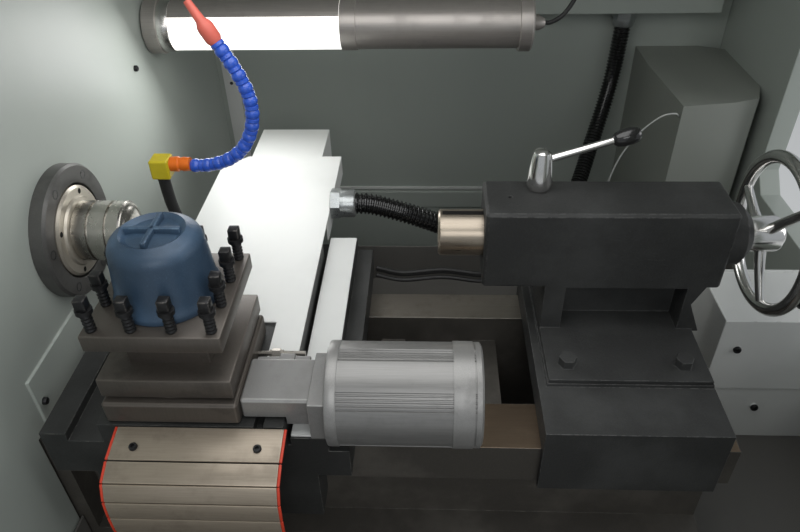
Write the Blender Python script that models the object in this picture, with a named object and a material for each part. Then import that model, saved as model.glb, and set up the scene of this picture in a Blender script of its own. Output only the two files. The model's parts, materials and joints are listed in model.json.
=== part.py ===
"""CNC turning lathe with a flat bed, in metres: +X along the bed to the tailstock, +Y to the rear, +Z up.

Places are given as (u, v, w), measured from the datum of the lathe: u from the chuck-side face of the inner
left wall, v from the spindle axis to the rear and w from the spindle axis upwards. at() turns them into world places.
"""

import math

import bmesh
import bpy
from mathutils import Matrix, Vector

# Overall machine
AXIS_HEIGHT = 1.08
LEFT_END = -1.0
RIGHT_END = 1.3
DOOR_FRONT = -0.7
HANDLE_REACH = 0.045
PANEL_FRONT = -0.655
REAR = 0.875
ROOF_TOP = 1.72
SHEET = 0.02
CENTRE_U = (LEFT_END + RIGHT_END) / 2
CENTRE_V = (DOOR_FRONT - HANDLE_REACH + REAR) / 2

# Working chamber
RIGHT_WALL = 1.257
BACK_WALL = 0.855
PLINTH_TOP = 0.1
FOOT_HEIGHT = 0.04
DOOR_SILL = 0.84
DOOR_HEAD = 1.62
OPENING_RIGHT = 0.96

# Bed
WAY_LEVEL = -0.2
BED_BOTTOM = -0.4767
BED_FRONT = -0.232
BED_REAR = 0.098
BED_LEFT = -0.52
BED_RIGHT = 0.97
FRONT_WAY = 0.08
REAR_WAY = 0.063

# Headstock and spindle
HEAD_LEFT = -0.52
HEAD_HALF = 0.17
HEAD_TOP = 0.19
BEARING_BORE = 0.075
SPINDLE_R = 0.052
SPINDLE_BORE = 0.026
NOSE_R = 0.068
COVER_R = 0.1
COVER_THICK = 0.022
ARBOR_R = 0.045
ARBOR_LENGTH = 0.087
BELT_LEFT = -0.6
BELT_WIDTH = 0.06
SPINDLE_PULLEY_R = 0.085
MOTOR_PULLEY_R = 0.06
MOTOR_DROP = 0.62

# Saddle and cross slide
SADDLE_LEFT = 0.045
SADDLE_RIGHT = 0.445
SADDLE_TOP = -0.137
SLIDE_LEFT = 0.133
SLIDE_RIGHT = 0.367
SLIDE_TOP = -0.0935
SLIDE_REAR = 0.1
SCREW_R = 0.016
Z_SCREW_V = 0.15
Z_SCREW_W = -0.31
Z_SCREW_RIGHT = 0.685

# Cable conduit
FITTING_V = 0.225
FITTING_W = -0.092
FITTING_END = 0.411
BEAM_FITTING_U = 1.0
BEAM_FITTING_V = 0.82
BEAM_FITTING_END = 0.034
CONDUIT_R = 0.019

# Four-station tool post
POST_U = 0.228
POST_V = -0.1965
POST_SIDE = 0.164
POST_TOP = 0.044
CLAMP_THICK = 0.0235
TOOL_GAP = 0.047
TABLE_THICK = 0.029
POST_BASE = -0.0932
MOTOR_R = 0.065
POST_MOTOR_V = -0.246
POST_MOTOR_W = -0.077

# Tailstock
TAIL_LEFT = 0.623
TAIL_RIGHT = 0.967
TAIL_HALF = 0.0475
TAIL_TOP = 0.061
TAIL_UNDER = -0.066
BASE_TOP = -0.15
QUILL_R = 0.034
QUILL_TIP = 0.558
WHEEL_U = 1.038
WHEEL_R = 0.115

# Shared fits and facets
GAP = 0.0003
OVER = 0.01
FINE = 32
ROUND = 24
SMALL = 12


def at(u, v, w):
    return Vector((u - CENTRE_U, v - CENTRE_V, w + AXIS_HEIGHT))


def level(height):
    """The w of a height above the floor."""
    return height - AXIS_HEIGHT


def material(name, colour, metallic, roughness):
    found = bpy.data.materials.get(name)
    if found:
        return found
    made = bpy.data.materials.new(name)
    made.use_nodes = True
    shader = made.node_tree.nodes["Principled BSDF"]
    shader.inputs["Base Color"].default_value = (*colour, 1)
    shader.inputs["Metallic"].default_value = metallic
    shader.inputs["Roughness"].default_value = roughness
    made.diffuse_color = (*colour, 1)
    return made


def panel_paint():
    return material("panel_paint", (0.62, 0.66, 0.62), 0, 0.45)


def white_paint():
    return material("white_paint", (0.86, 0.86, 0.83), 0, 0.4)


def beige_paint():
    return material("beige_paint", (0.55, 0.51, 0.43), 0, 0.5)


def dark_paint():
    return material("dark_paint", (0.07, 0.07, 0.07), 0, 0.5)


def cast_iron():
    return material("cast_iron", (0.1, 0.1, 0.095), 0.3, 0.6)


def ground_steel():
    return material("ground_steel", (0.45, 0.42, 0.38), 0.9, 0.35)


def chrome():
    return material("chrome", (0.85, 0.85, 0.87), 1, 0.12)


def black_oxide():
    return material("black_oxide", (0.03, 0.03, 0.03), 0.5, 0.45)


def aluminium():
    return material("aluminium", (0.55, 0.54, 0.53), 0.6, 0.4)


def blue_cap_paint():
    return material("blue_cap_paint", (0.08, 0.13, 0.2), 0, 0.4)


def blue_plastic():
    return material("blue_plastic", (0.05, 0.12, 0.65), 0, 0.35)


def yellow_plastic():
    return material("yellow_plastic", (0.6, 0.5, 0.05), 0, 0.4)


def red_plastic():
    return material("red_plastic", (0.6, 0.05, 0.06), 0, 0.4)


def black_rubber():
    return material("black_rubber", (0.02, 0.02, 0.02), 0, 0.6)


def clear_glass():
    return material("clear_glass", (0.8, 0.88, 0.86), 0, 0.05)


def new_object(name, shape, paint):
    bmesh.ops.recalc_face_normals(shape, faces=shape.faces)
    mesh = bpy.data.meshes.new(name)
    shape.to_mesh(mesh)
    shape.free()
    mesh.materials.append(paint)
    made = bpy.data.objects.new(name, mesh)
    bpy.context.scene.collection.objects.link(made)
    return made


def extrude_outline(name, bottom, top, paint):
    """A prism between two rings of places that match one to one."""
    shape = bmesh.new()
    low = [shape.verts.new(place) for place in bottom]
    high = [shape.verts.new(place) for place in top]
    count = len(low)
    shape.faces.new(low)
    shape.faces.new(high)
    for index in range(count):
        after = (index + 1) % count
        shape.faces.new((low[index], low[after], high[after], high[index]))
    return new_object(name, shape, paint)


def block(name, u, v, w, paint):
    """A box between the two values of each of u, v and w."""
    corners = [(u[0], v[0]), (u[1], v[0]), (u[1], v[1]), (u[0], v[1])]
    return plan_prism(name, corners, w, paint)


def plan_prism(name, outline, w, paint):
    """An outline of (u, v) points carried from the lower to the upper w."""
    low = [at(u, v, w[0]) for u, v in outline]
    high = [at(u, v, w[1]) for u, v in outline]
    return extrude_outline(name, low, high, paint)


def end_prism(name, outline, u, paint):
    """An outline of (v, w) points carried along the machine."""
    low = [at(u[0], v, w) for v, w in outline]
    high = [at(u[1], v, w) for v, w in outline]
    return extrude_outline(name, low, high, paint)


def front_prism(name, outline, v, paint):
    """An outline of (u, w) points carried from front to rear."""
    low = [at(u, v[0], w) for u, w in outline]
    high = [at(u, v[1], w) for u, w in outline]
    return extrude_outline(name, low, high, paint)


def turned(name, axis, centre, profile, sides, paint):
    """A closed outline of (along, radius) points turned about an axis through centre."""
    turns = {"U": (0, 1, 2), "V": (1, 2, 0), "W": (2, 0, 1)}[axis]
    shape = bmesh.new()
    rings = []
    for along, radius in profile:
        ring = []
        for step in range(sides if radius else 1):
            angle = 2 * math.pi * step / sides
            place = [0, 0, 0]
            place[turns[0]] = along
            place[turns[1]] = radius * math.cos(angle)
            place[turns[2]] = radius * math.sin(angle)
            ring.append(shape.verts.new(at(*(c + p for c, p in zip(centre, place)))))
        rings.append(ring)
    for index, first in enumerate(rings):
        following = (index + 1) % len(rings)
        second = rings[following]
        if len(first) == 1 and len(second) == 1:
            continue
        if 1 in (len(first), len(second)) and profile[index][0] == profile[following][0]:
            shape.faces.new(max(first, second, key=len))
            continue
        for step in range(sides):
            after = (step + 1) % sides
            corners = [first[step % len(first)], first[after % len(first)]]
            corners += [second[after % len(second)], second[step % len(second)]]
            shape.faces.new(list(dict.fromkeys(corners)))
    loose = [vert for vert in shape.verts if not vert.link_faces]
    bmesh.ops.delete(shape, geom=loose, context="VERTS")
    made = new_object(name, shape, paint)
    made.data.shade_smooth()
    made.data.set_sharp_from_angle(angle=math.radians(35))
    return made


def drum(name, axis, centre, radius, along, sides, paint):
    profile = [(along[0], 0), (along[0], radius), (along[1], radius), (along[1], 0)]
    return turned(name, axis, centre, profile, sides, paint)


def ring(name, axis, centre, radii, along, sides, paint):
    inner, outer = radii
    profile = [(along[0], inner), (along[0], outer), (along[1], outer), (along[1], inner)]
    return turned(name, axis, centre, profile, sides, paint)


def swept(name, places, radii, sides, paint):
    """A round tube through places, with a radius at each of them."""
    shape = bmesh.new()
    rings = []
    side = None
    for index, place in enumerate(places):
        before = places[max(index - 1, 0)]
        after = places[min(index + 1, len(places) - 1)]
        along = (after - before).normalized()
        if side is None:
            side = along.orthogonal().normalized()
        side = (side - along * side.dot(along)).normalized()
        other = along.cross(side)
        loop = []
        for step in range(sides):
            angle = 2 * math.pi * step / sides
            reach = side * math.cos(angle) + other * math.sin(angle)
            loop.append(shape.verts.new(place + reach * radii[index]))
        rings.append(loop)
    shape.faces.new(rings[0])
    shape.faces.new(rings[-1])
    for first, second in zip(rings, rings[1:]):
        for step in range(sides):
            after = (step + 1) % sides
            shape.faces.new((first[step], first[after], second[after], second[step]))
    made = new_object(name, shape, paint)
    made.data.shade_smooth()
    made.data.set_sharp_from_angle(angle=math.radians(50))
    return made


def smooth_route(points, steps):
    """Places on a Catmull-Rom curve through the points."""
    knots = [points[0] * 2 - points[1], *points, points[-1] * 2 - points[-2]]
    route = []
    for index in range(1, len(knots) - 2):
        a, b, c, d = knots[index - 1 : index + 3]
        for step in range(steps):
            t = step / steps
            route.append(
                (b * 2 + (c - a) * t + (a * 2 - b * 5 + c * 4 - d) * t**2 + (b * 3 - a - c * 3 + d) * t**3) / 2
            )
    route.append(points[-1].copy())
    return route


def combine(target, others, operation):
    """Joins others to target, or cuts them from it, and removes them."""
    for other in others:
        step = target.modifiers.new("step", "BOOLEAN")
        step.operation = operation
        step.solver = "EXACT"
        step.object = other
        other.hide_render = True
        other.display_type = "WIRE"
        graph = bpy.context.evaluated_depsgraph_get()
        result = bpy.data.meshes.new_from_object(target.evaluated_get(graph))
        target.modifiers.clear()
        old = target.data
        target.data = result
        bpy.data.meshes.remove(old)
        bpy.data.objects.remove(other)
    while len(target.data.materials) > 1:
        target.data.materials.pop()
    return target


def join(target, *others):
    return combine(target, others, "UNION")


def cut(target, *others):
    return combine(target, others, "DIFFERENCE")


def soften(target, width):
    """Breaks the sharp edges with a small chamfer."""
    edge = target.modifiers.new("edges", "BEVEL")
    edge.width = width
    edge.segments = 1
    edge.limit_method = "ANGLE"
    edge.angle_limit = math.radians(40)
    return target


def turn_about(target, u, v, w):
    """Puts the object's origin on its joint axis."""
    place = at(u, v, w)
    target.data.transform(Matrix.Translation(-place))
    target.location = place
    return target


def circle(radius, sides, centre=(0, 0), start=0, sweep=2 * math.pi):
    points = []
    for step in range(sides):
        angle = start + sweep * step / sides
        points.append((centre[0] + radius * math.cos(angle), centre[1] + radius * math.sin(angle)))
    return points


def clear_scene():
    for old in list(bpy.data.objects):
        bpy.data.objects.remove(old)


def machine_base():
    """The welded plinth on its six levelling pads, with the two pedestals that carry the bed."""
    edge = 0.03
    pad_r = 0.05
    pad_inset = 0.14
    made = block(
        "machine_base",
        (LEFT_END + edge, RIGHT_END - edge),
        (PANEL_FRONT + edge, REAR - edge),
        (level(FOOT_HEIGHT), level(PLINTH_TOP)),
        dark_paint(),
    )
    middle = (LEFT_END + RIGHT_END) / 2
    for u in (LEFT_END + pad_inset, middle, RIGHT_END - pad_inset):
        for v in (PANEL_FRONT + pad_inset, REAR - pad_inset):
            pad = drum("pad", "W", (u, v, 0), pad_r, (level(0), level(FOOT_HEIGHT) + OVER), SMALL, dark_paint())
            join(made, pad)
    for u in ((-0.51, 0.1), (0.66, BED_RIGHT)):
        join(made, pedestal(u))


def pedestal(u):
    recess = 0.012
    border = 0.05
    front = -0.29
    rear = 0.2
    low = level(PLINTH_TOP) - OVER
    high = BED_BOTTOM - 0.003 - 2 * GAP
    made = block("pedestal", u, (front, rear), (low, high), beige_paint())
    panel = block(
        "panel", (u[0] + border, u[1] - border), (front - OVER, front + recess), (low + border, high - border), beige_paint()
    )
    return cut(made, panel)


def chip_tray():
    wall = 0.003
    rim = 0.1
    front = -0.6
    rear = 0.495
    left = 0.004
    right = RIGHT_WALL - 0.004
    low = BED_BOTTOM - wall - GAP
    made = block("chip_tray", (left, right), (front, rear), (low, low + rim), beige_paint())
    hollow = block("hollow", (left + wall, right - wall), (front + wall, rear - wall), (low + wall, low + rim + OVER), beige_paint())
    notch = block("notch", (0, left + 2 * wall), (BED_FRONT - wall, BED_REAR + wall), (low + wall, low + rim + OVER), beige_paint())
    return cut(made, hollow, notch)


def bed():
    rib = 0.04
    web = 0.035
    foot = 0.06
    windows = 6
    window_drop = 0.07
    made = block("bed", (BED_LEFT, BED_RIGHT), (BED_FRONT, BED_REAR), (BED_BOTTOM, WAY_LEVEL), cast_iron())
    inner = (BED_FRONT + FRONT_WAY, BED_REAR - REAR_WAY)
    pitch = (BED_RIGHT - rib) / windows
    cutters = []
    for index in range(windows):
        start = rib + index * pitch
        cutters.append(
            block("bay", (start, start + pitch - rib), inner, (BED_BOTTOM + foot, WAY_LEVEL + OVER), cast_iron())
        )
    # The slots under the ways leave the ways as a lip over the front and rear webs.
    for side in (0, 1):
        face = (BED_FRONT, BED_REAR)[side]
        way = (FRONT_WAY, REAR_WAY)[side]
        reach = (way - web) * (1, -1)[side]
        span = sorted((face - (1, -1)[side] * OVER, face + reach))
        cutters.append(
            block("undercut", (SHEET, BED_RIGHT + OVER), span, (BED_BOTTOM + foot, WAY_LEVEL - window_drop), cast_iron())
        )
    channel = block("channel", (SHEET, BED_RIGHT + OVER), inner, (WAY_LEVEL - 0.05, WAY_LEVEL + OVER), cast_iron())
    cut(made, *cutters, channel)
    half = 0.032
    bracket = block(
        "bracket",
        (Z_SCREW_RIGHT - 0.025, Z_SCREW_RIGHT + 0.012),
        (BED_REAR - REAR_WAY + 0.015, Z_SCREW_V + half),
        (Z_SCREW_W - half, Z_SCREW_W + half),
        cast_iron(),
    )
    join(made, bracket)
    seat = drum(
        "seat", "U", (0, Z_SCREW_V, Z_SCREW_W), SCREW_R * 0.7 + GAP * 2, (Z_SCREW_RIGHT - 0.1, Z_SCREW_RIGHT + 0.1), 24, cast_iron()
    )
    return cut(made, seat)


def headstock():
    boss_r = 0.083
    lid = 0.03
    lip = 0.012
    rear = -SHEET - GAP
    made = block(
        "headstock", (HEAD_LEFT, rear), (-HEAD_HALF, HEAD_HALF), (WAY_LEVEL + GAP, HEAD_TOP), beige_paint()
    )
    step = block(
        "step", (HEAD_LEFT + lid, rear - lid), (-HEAD_HALF + lid, HEAD_HALF - lid), (HEAD_TOP - OVER, HEAD_TOP + lip), beige_paint()
    )
    boss = drum("boss", "U", (0, 0, 0), boss_r, (rear - OVER, -GAP), FINE, beige_paint())
    join(made, step, boss)
    bore = drum("bore", "U", (0, 0, 0), SPINDLE_R + GAP, (HEAD_LEFT - OVER, OVER), FINE, beige_paint())
    cut(made, bore, drum("mouth", "U", (0, 0, 0), BEARING_BORE, (-0.03, OVER), FINE, beige_paint()))


def bearing_cover():
    bolt_circle = 0.085
    bolt_r = 0.0055
    sink = 0.008
    chamfer = 0.003
    count = 6
    inner = NOSE_R + 0.0025
    profile = [
        (GAP, inner),
        (GAP, COVER_R),
        (COVER_THICK - chamfer, COVER_R),
        (COVER_THICK, COVER_R - chamfer),
        (COVER_THICK, inner),
    ]
    made = turned("spindle_bearing_cover", "U", (0, 0, 0), profile, FINE, black_oxide())
    start = math.radians(50)
    for v, w in circle(bolt_circle, count, start=start):
        hole = drum("hole", "U", (0, v, w), bolt_r, (COVER_THICK - sink, COVER_THICK + OVER), SMALL, black_oxide())
        cut(made, hole)


def spindle():
    tail_r = 0.045
    tail = -0.64
    nose_back = -0.018
    nose_front = 0.024
    register_r = 0.052
    register = 0.028
    chamfer = 0.004
    hole_circle = 0.059
    hole_r = 0.0045
    hole_depth = 0.008
    profile = [
        (tail, SPINDLE_BORE),
        (tail, tail_r),
        (HEAD_LEFT - 0.004, tail_r),
        (HEAD_LEFT - 0.004, SPINDLE_R),
        (nose_back, SPINDLE_R),
        (nose_back, NOSE_R),
        (nose_front - chamfer, NOSE_R),
        (nose_front, NOSE_R - chamfer),
        (nose_front, register_r),
        (register, register_r - chamfer),
        (register, SPINDLE_BORE),
    ]
    made = turned("spindle", "U", (0, 0, 0), profile, FINE, ground_steel())
    for v, w in circle(hole_circle, 4, start=math.radians(62)):
        hole = drum("hole", "U", (0, v, w), hole_r, (nose_front - hole_depth, nose_front + OVER), SMALL, ground_steel())
        cut(made, hole)
    turn_about(made, 0, 0, 0)


def spindle_arbor():
    shank = 0.07
    shoulder = 0.0283
    groove = 0.003
    groove_width = 0.004
    crown = 0.012
    face_r = ARBOR_R - 0.003
    end = COVER_THICK + ARBOR_LENGTH
    profile = [(shoulder - shank, 0), (shoulder - shank, SPINDLE_BORE - GAP), (shoulder, SPINDLE_BORE - GAP), (shoulder, ARBOR_R)]
    for share in (0.3, 0.62):
        start = shoulder + (end - shoulder) * share
        profile += [(start, ARBOR_R), (start, ARBOR_R - groove)]
        profile += [(start + groove_width, ARBOR_R - groove), (start + groove_width, ARBOR_R)]
    profile += [(end - crown, ARBOR_R), (end - crown, face_r), (end - crown / 3, face_r * 0.9), (end, face_r * 0.5), (end, 0)]
    turn_about(turned("spindle_arbor", "U", (0, 0, 0), profile, FINE, chrome()), 0, 0, 0)


def pulley(name, radius, bore, w, paint):
    flange = 0.004
    lip = 0.004
    start = BELT_LEFT - flange
    end = BELT_LEFT + BELT_WIDTH + flange
    profile = [
        (start, bore),
        (start, radius + lip),
        (start + flange, radius + lip),
        (start + flange, radius),
        (end - flange, radius),
        (end - flange, radius + lip),
        (end, radius + lip),
        (end, bore),
    ]
    made = turned(name, "U", (0, 0, w), profile, FINE, paint)
    turn_about(made, 0, 0, w)


def belt_loop(grow):
    """The belt's outline in (v, w), outside the two pulleys by grow."""
    upper = SPINDLE_PULLEY_R + grow
    lower = MOTOR_PULLEY_R + grow
    lean = math.asin((upper - lower) / MOTOR_DROP)
    arcs = 16
    sweep_up = math.pi + 2 * lean
    sweep_down = math.pi - 2 * lean
    top = circle(upper, arcs + 1, start=-lean, sweep=sweep_up * (arcs + 1) / arcs)
    low = circle(lower, arcs + 1, (0, -MOTOR_DROP), start=math.pi + lean, sweep=sweep_down * (arcs + 1) / arcs)
    return top + low


def drive_belt():
    thick = 0.005
    side = 0.001
    span = (BELT_LEFT + side, BELT_LEFT + BELT_WIDTH - side)
    made = end_prism("drive_belt", belt_loop(thick), span, black_rubber())
    cut(made, end_prism("inside", belt_loop(GAP * 3), (span[0] - OVER, span[1] + OVER), black_rubber()))


def spindle_motor():
    left = -0.95
    right = BELT_LEFT - 0.02
    radius = 0.105
    shaft_r = 0.019
    fins = 8
    fin = 0.008
    fin_thick = 0.006
    box_half = 0.06
    made = drum("spindle_motor", "U", (0, 0, -MOTOR_DROP), radius, (left, right), FINE, dark_paint())
    shaft = drum(
        "shaft", "U", (0, 0, -MOTOR_DROP), shaft_r, (right - OVER, BELT_LEFT + BELT_WIDTH), SMALL, dark_paint()
    )
    terminals = block(
        "terminals",
        (left + 0.09, left + 0.2),
        (-box_half, box_half),
        (-MOTOR_DROP + radius - 0.02, -MOTOR_DROP + radius + 0.05),
        dark_paint(),
    )
    join(made, shaft, terminals)
    for v, w in circle(radius, fins, start=math.pi * 1.1, sweep=math.pi * 0.8):
        angle = math.atan2(w, v)
        across = Vector((-math.sin(angle), math.cos(angle))) * fin_thick / 2
        outer = Vector((math.cos(angle), math.sin(angle)))
        corners = []
        for reach in (radius - fin, radius + fin):
            corners += [outer * reach - across, outer * reach + across] if not corners else [outer * reach + across, outer * reach - across]
        outline = [(c[0], c[1] - MOTOR_DROP) for c in corners]
        join(made, end_prism("fin", outline, (left + 0.03, right - 0.03), dark_paint()))


def motor_mount():
    foot = 0.12
    radius = 0.105
    fin = 0.008
    made = block(
        "motor_mount",
        (-0.93, -0.66),
        (-foot, foot),
        (level(PLINTH_TOP) + GAP, -MOTOR_DROP - radius * 0.6),
        dark_paint(),
    )
    cut(
        made,
        drum("cradle", "U", (0, 0, -MOTOR_DROP), radius + fin + GAP * 3, (-1, -0.5), FINE, dark_paint()),
    )


def partition_panel():
    low = level(0.62)
    boss_hole = 0.085
    notch_front = BED_FRONT - 0.004
    notch_rear = Z_SCREW_V + 0.06
    notch_gap = 0.004
    made = block(
        "partition_panel",
        (-SHEET, 0),
        (PANEL_FRONT + SHEET + GAP, BACK_WALL - GAP),
        (low, level(ROOF_TOP) - SHEET - GAP),
        panel_paint(),
    )
    hole = drum("hole", "U", (0, 0, 0), boss_hole, (-SHEET - OVER, OVER), FINE, panel_paint())
    notch = block(
        "notch",
        (-SHEET - OVER, OVER),
        (notch_front, notch_rear),
        (low - OVER, WAY_LEVEL + notch_gap),
        panel_paint(),
    )
    screw_r = 0.005
    head = 0.004
    screw = drum("screw", "U", (0, 0.375, 0.105), screw_r, (-OVER, head), SMALL, panel_paint())
    cut(made, hole, notch)
    thick = 0.004
    guard = block("guard", (-OVER, thick), (-0.212, BED_REAR), (WAY_LEVEL + GAP * 2, -0.107), panel_paint())
    guard_screw = drum("guard_screw", "U", (0, -0.2, -0.154), screw_r, (thick / 2, thick * 2), SMALL, panel_paint())
    join(made, screw, guard, guard_screw)


def back_panel():
    made = block(
        "back_panel",
        (-SHEET, RIGHT_WALL - GAP),
        (BACK_WALL, REAR),
        (level(PLINTH_TOP) + GAP, level(ROOF_TOP) - SHEET - GAP),
        panel_paint(),
    )
    fold = 0.006
    band = block(
        "band", (OVER, RIGHT_WALL - 0.05), (BACK_WALL - fold, BACK_WALL + OVER), (-0.496, -0.445), panel_paint()
    )
    join(made, band)
    rear = block(
        "rear_recess",
        (0.1, RIGHT_WALL - 0.1),
        (REAR - fold, REAR + OVER),
        (level(0.25), level(ROOF_TOP) - 0.15),
        panel_paint(),
    )
    return cut(made, rear)


def right_panel():
    low = level(0.865)
    high = level(1.5)
    post = 0.499
    front = -0.45
    corner = 0.04
    made = block(
        "right_panel",
        (RIGHT_WALL, RIGHT_END),
        (PANEL_FRONT + SHEET + GAP, REAR),
        (level(PLINTH_TOP) + GAP, level(ROOF_TOP) - SHEET - GAP),
        panel_paint(),
    )
    outline = [
        (front + corner, low),
        (post - corner, low),
        (post, low + corner),
        (post, high - corner),
        (post - corner, high),
        (front + corner, high),
        (front, high - corner),
        (front, low + corner),
    ]
    return cut(made, end_prism("opening", outline, (RIGHT_WALL - OVER, RIGHT_END + OVER), panel_paint()))


def left_panel():
    vents = 6
    vent_height = 0.012
    vent_pitch = 0.035
    depth = 0.006
    made = block(
        "left_panel",
        (LEFT_END, LEFT_END + SHEET),
        (PANEL_FRONT + SHEET + GAP, REAR),
        (level(PLINTH_TOP) + GAP, level(ROOF_TOP) - SHEET - GAP),
        white_paint(),
    )
    slots = []
    for index in range(vents):
        low = level(0.35) + index * vent_pitch
        slots.append(
            block("vent", (LEFT_END - OVER, LEFT_END + depth), (-0.2, 0.2), (low, low + vent_height), white_paint())
        )
    return cut(made, *slots)


def rear_cabinet():
    """The electrical cabinet behind the headstock, with the vents and the lock of its rear door."""
    vents = 5
    vent_height = 0.012
    vent_pitch = 0.035
    depth = 0.008
    border = 0.05
    groove = 0.004
    left = LEFT_END + SHEET + GAP
    right = -SHEET - GAP
    low = level(PLINTH_TOP) + GAP
    high = level(ROOF_TOP) - SHEET - GAP
    made = block("electrical_cabinet", (left, right), (0.5, REAR), (low, high), panel_paint())
    slots = []
    for index in range(vents):
        start = level(1.2) + index * vent_pitch
        slots.append(block("vent", (-0.65, -0.35), (REAR - depth, REAR + OVER), (start, start + vent_height), panel_paint()))
    lock = drum("lock", "V", (-border * 3, 0, level(0.95)), 0.015, (REAR - depth, REAR + OVER), SMALL, panel_paint())
    gap = REAR - depth, REAR + OVER
    for u in (left + border, right - border):
        slots.append(block("edge", (u - groove / 2, u + groove / 2), gap, (low + border, high - border), panel_paint()))
    for w in (low + border, high - border):
        slots.append(block("edge", (left + border - groove / 2, right - border + groove / 2), gap, (w - groove / 2, w + groove / 2), panel_paint()))
    return cut(made, *slots, lock)


def roof_panel():
    block(
        "roof_panel",
        (LEFT_END, RIGHT_END),
        (PANEL_FRONT, REAR),
        (level(ROOF_TOP) - SHEET, level(ROOF_TOP)),
        white_paint(),
    )


def front_panel(name, u, low, high, paint):
    fold = 0.005
    border = 0.04
    made = block(name, u, (PANEL_FRONT, PANEL_FRONT + SHEET), (level(low), level(high)), paint)
    inset = block(
        "inset",
        (u[0] + border, u[1] - border),
        (PANEL_FRONT - OVER, PANEL_FRONT + fold),
        (level(low) + border, level(high) - border),
        paint,
    )
    cut(made, inset)


def front_panels():
    top = ROOF_TOP - SHEET - GAP
    low = PLINTH_TOP + GAP
    front_panel("front_left_panel", (LEFT_END, -GAP), low, top, white_paint())
    front_panel("front_lower_panel", (0, OPENING_RIGHT - GAP), low, DOOR_SILL, white_paint())
    front_panel("front_right_panel", (OPENING_RIGHT, RIGHT_END), low, top, white_paint())
    front_panel("front_header", (0, OPENING_RIGHT - GAP), DOOR_HEAD, top, white_paint())


def door_rail():
    deep = 0.012
    tall = 0.03
    reach = 0.995
    low = level(DOOR_HEAD) + 0.012
    block("door_rail", (LEFT_END + 0.005, reach), (PANEL_FRONT - GAP - deep, PANEL_FRONT - GAP), (low, low + tall), ground_steel())


def sliding_door():
    left = LEFT_END + 0.012
    right = 0.015
    back = PANEL_FRONT - 0.013
    low = level(DOOR_SILL) - 0.055
    high = level(DOOR_HEAD) + 0.045
    rim_u = 0.17
    rim_low = 0.2
    rim_high = 0.13
    pane = 0.006
    lip = 0.01
    corner = 0.03
    made = block("sliding_door", (left, right), (DOOR_FRONT, back), (low, high), white_paint())

    def window(inset):
        a, b = left + rim_u + inset, right - rim_u - inset
        c, d = low + rim_low + inset, high - rim_high - inset
        return [
            (a + corner, c), (b - corner, c), (b, c + corner), (b, d - corner),
            (b - corner, d), (a + corner, d), (a, d - corner), (a, c + corner),
        ]

    seat = back - pane - lip
    cut(
        made,
        front_prism("window", window(lip), (DOOR_FRONT - OVER, back + OVER), white_paint()),
        front_prism("seat", window(0), (seat, back + OVER), white_paint()),
    )
    turn_about(made, left, 0, 0)
    glass = front_prism("door_window", window(GAP), (seat + GAP, seat + pane), clear_glass())
    turn_about(glass, left, 0, 0)


def door_handle():
    u = -0.075
    bar_r = 0.011
    low = level(1.06)
    high = level(1.4)
    reach = DOOR_FRONT - HANDLE_REACH + bar_r
    bend = 0.02
    start = DOOR_FRONT - GAP
    points = [at(u, start, low), at(u, reach + bend, low), at(u, reach, low + bend)]
    points += [at(u, reach, high - bend), at(u, reach + bend, high), at(u, start, high)]
    turn_about(swept("door_handle", points, [bar_r] * len(points), SMALL, black_rubber()), LEFT_END, 0, 0)


def operator_panel():
    u = (1.012, 1.285)
    back = PANEL_FRONT - GAP
    front = DOOR_FRONT - 0.02
    low = level(0.95)
    high = level(1.5)
    screen_u = (1.035, 1.262)
    screen_w = (level(1.29), level(1.46))
    sink = 0.004
    made = block("operator_panel", u, (front, back), (low, high), dark_paint())
    recess = block("recess", screen_u, (front - OVER, front + sink), screen_w, dark_paint())
    keys = []
    rows = 4
    columns = 6
    key = 0.024
    pitch_u = (screen_u[1] - screen_u[0]) / columns
    pitch_w = 0.034
    raise_by = 0.003
    for row in range(rows):
        for column in range(columns):
            start = screen_u[0] + column * pitch_u + (pitch_u - key) / 2
            bottom = level(1.135) + row * pitch_w
            keys.append(
                block("key", (start, start + key), (front - raise_by, front + sink), (bottom, bottom + key), dark_paint())
            )
    cut(made, recess)
    stop_u = 1.085
    knob_u = 1.215
    knob_w = level(1.04)
    hole_r = 0.0115
    for u_centre in (stop_u, knob_u):
        hole = drum("hole", "V", (u_centre, 0, knob_w), hole_r, (front - OVER, front + 0.03), SMALL, dark_paint())
        cut(made, hole)
    join(made, *keys)
    display = block(
        "control_screen",
        (screen_u[0] + GAP, screen_u[1] - GAP),
        (front + GAP, front + sink - GAP),
        (screen_w[0] + GAP, screen_w[1] - GAP),
        clear_glass(),
    )
    turn_about(display, screen_u[0], 0, 0)
    emergency_stop(stop_u, knob_w, front)
    feed_knob(knob_u, knob_w, front)


def emergency_stop(u, w, front):
    profile = [
        (front + 0.02, 0),
        (front + 0.02, 0.0105),
        (front - 0.008, 0.0105),
        (front - 0.008, 0.019),
        (front - 0.016, 0.021),
        (front - 0.022, 0.017),
        (front - 0.024, 0),
    ]
    turn_about(turned("emergency_stop", "V", (u, 0, w), profile, ROUND, red_plastic()), u, front, w)


def feed_knob(u, w, front):
    rim = 0.022
    profile = [
        (front + 0.02, 0),
        (front + 0.02, 0.0105),
        (front - 0.002, 0.0105),
        (front - 0.002, rim),
        (front - 0.018, rim * 0.86),
        (front - 0.02, 0),
    ]
    made = turned("feed_knob", "V", (u, 0, w), profile, ROUND, black_rubber())
    grip = 0.0025
    mark = block("mark", (u - grip, u + grip), (front - 0.024, front - OVER), (w, w + rim * 0.8), black_rubber())
    join(made, mark)
    turn_about(made, u, front, w)


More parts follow.
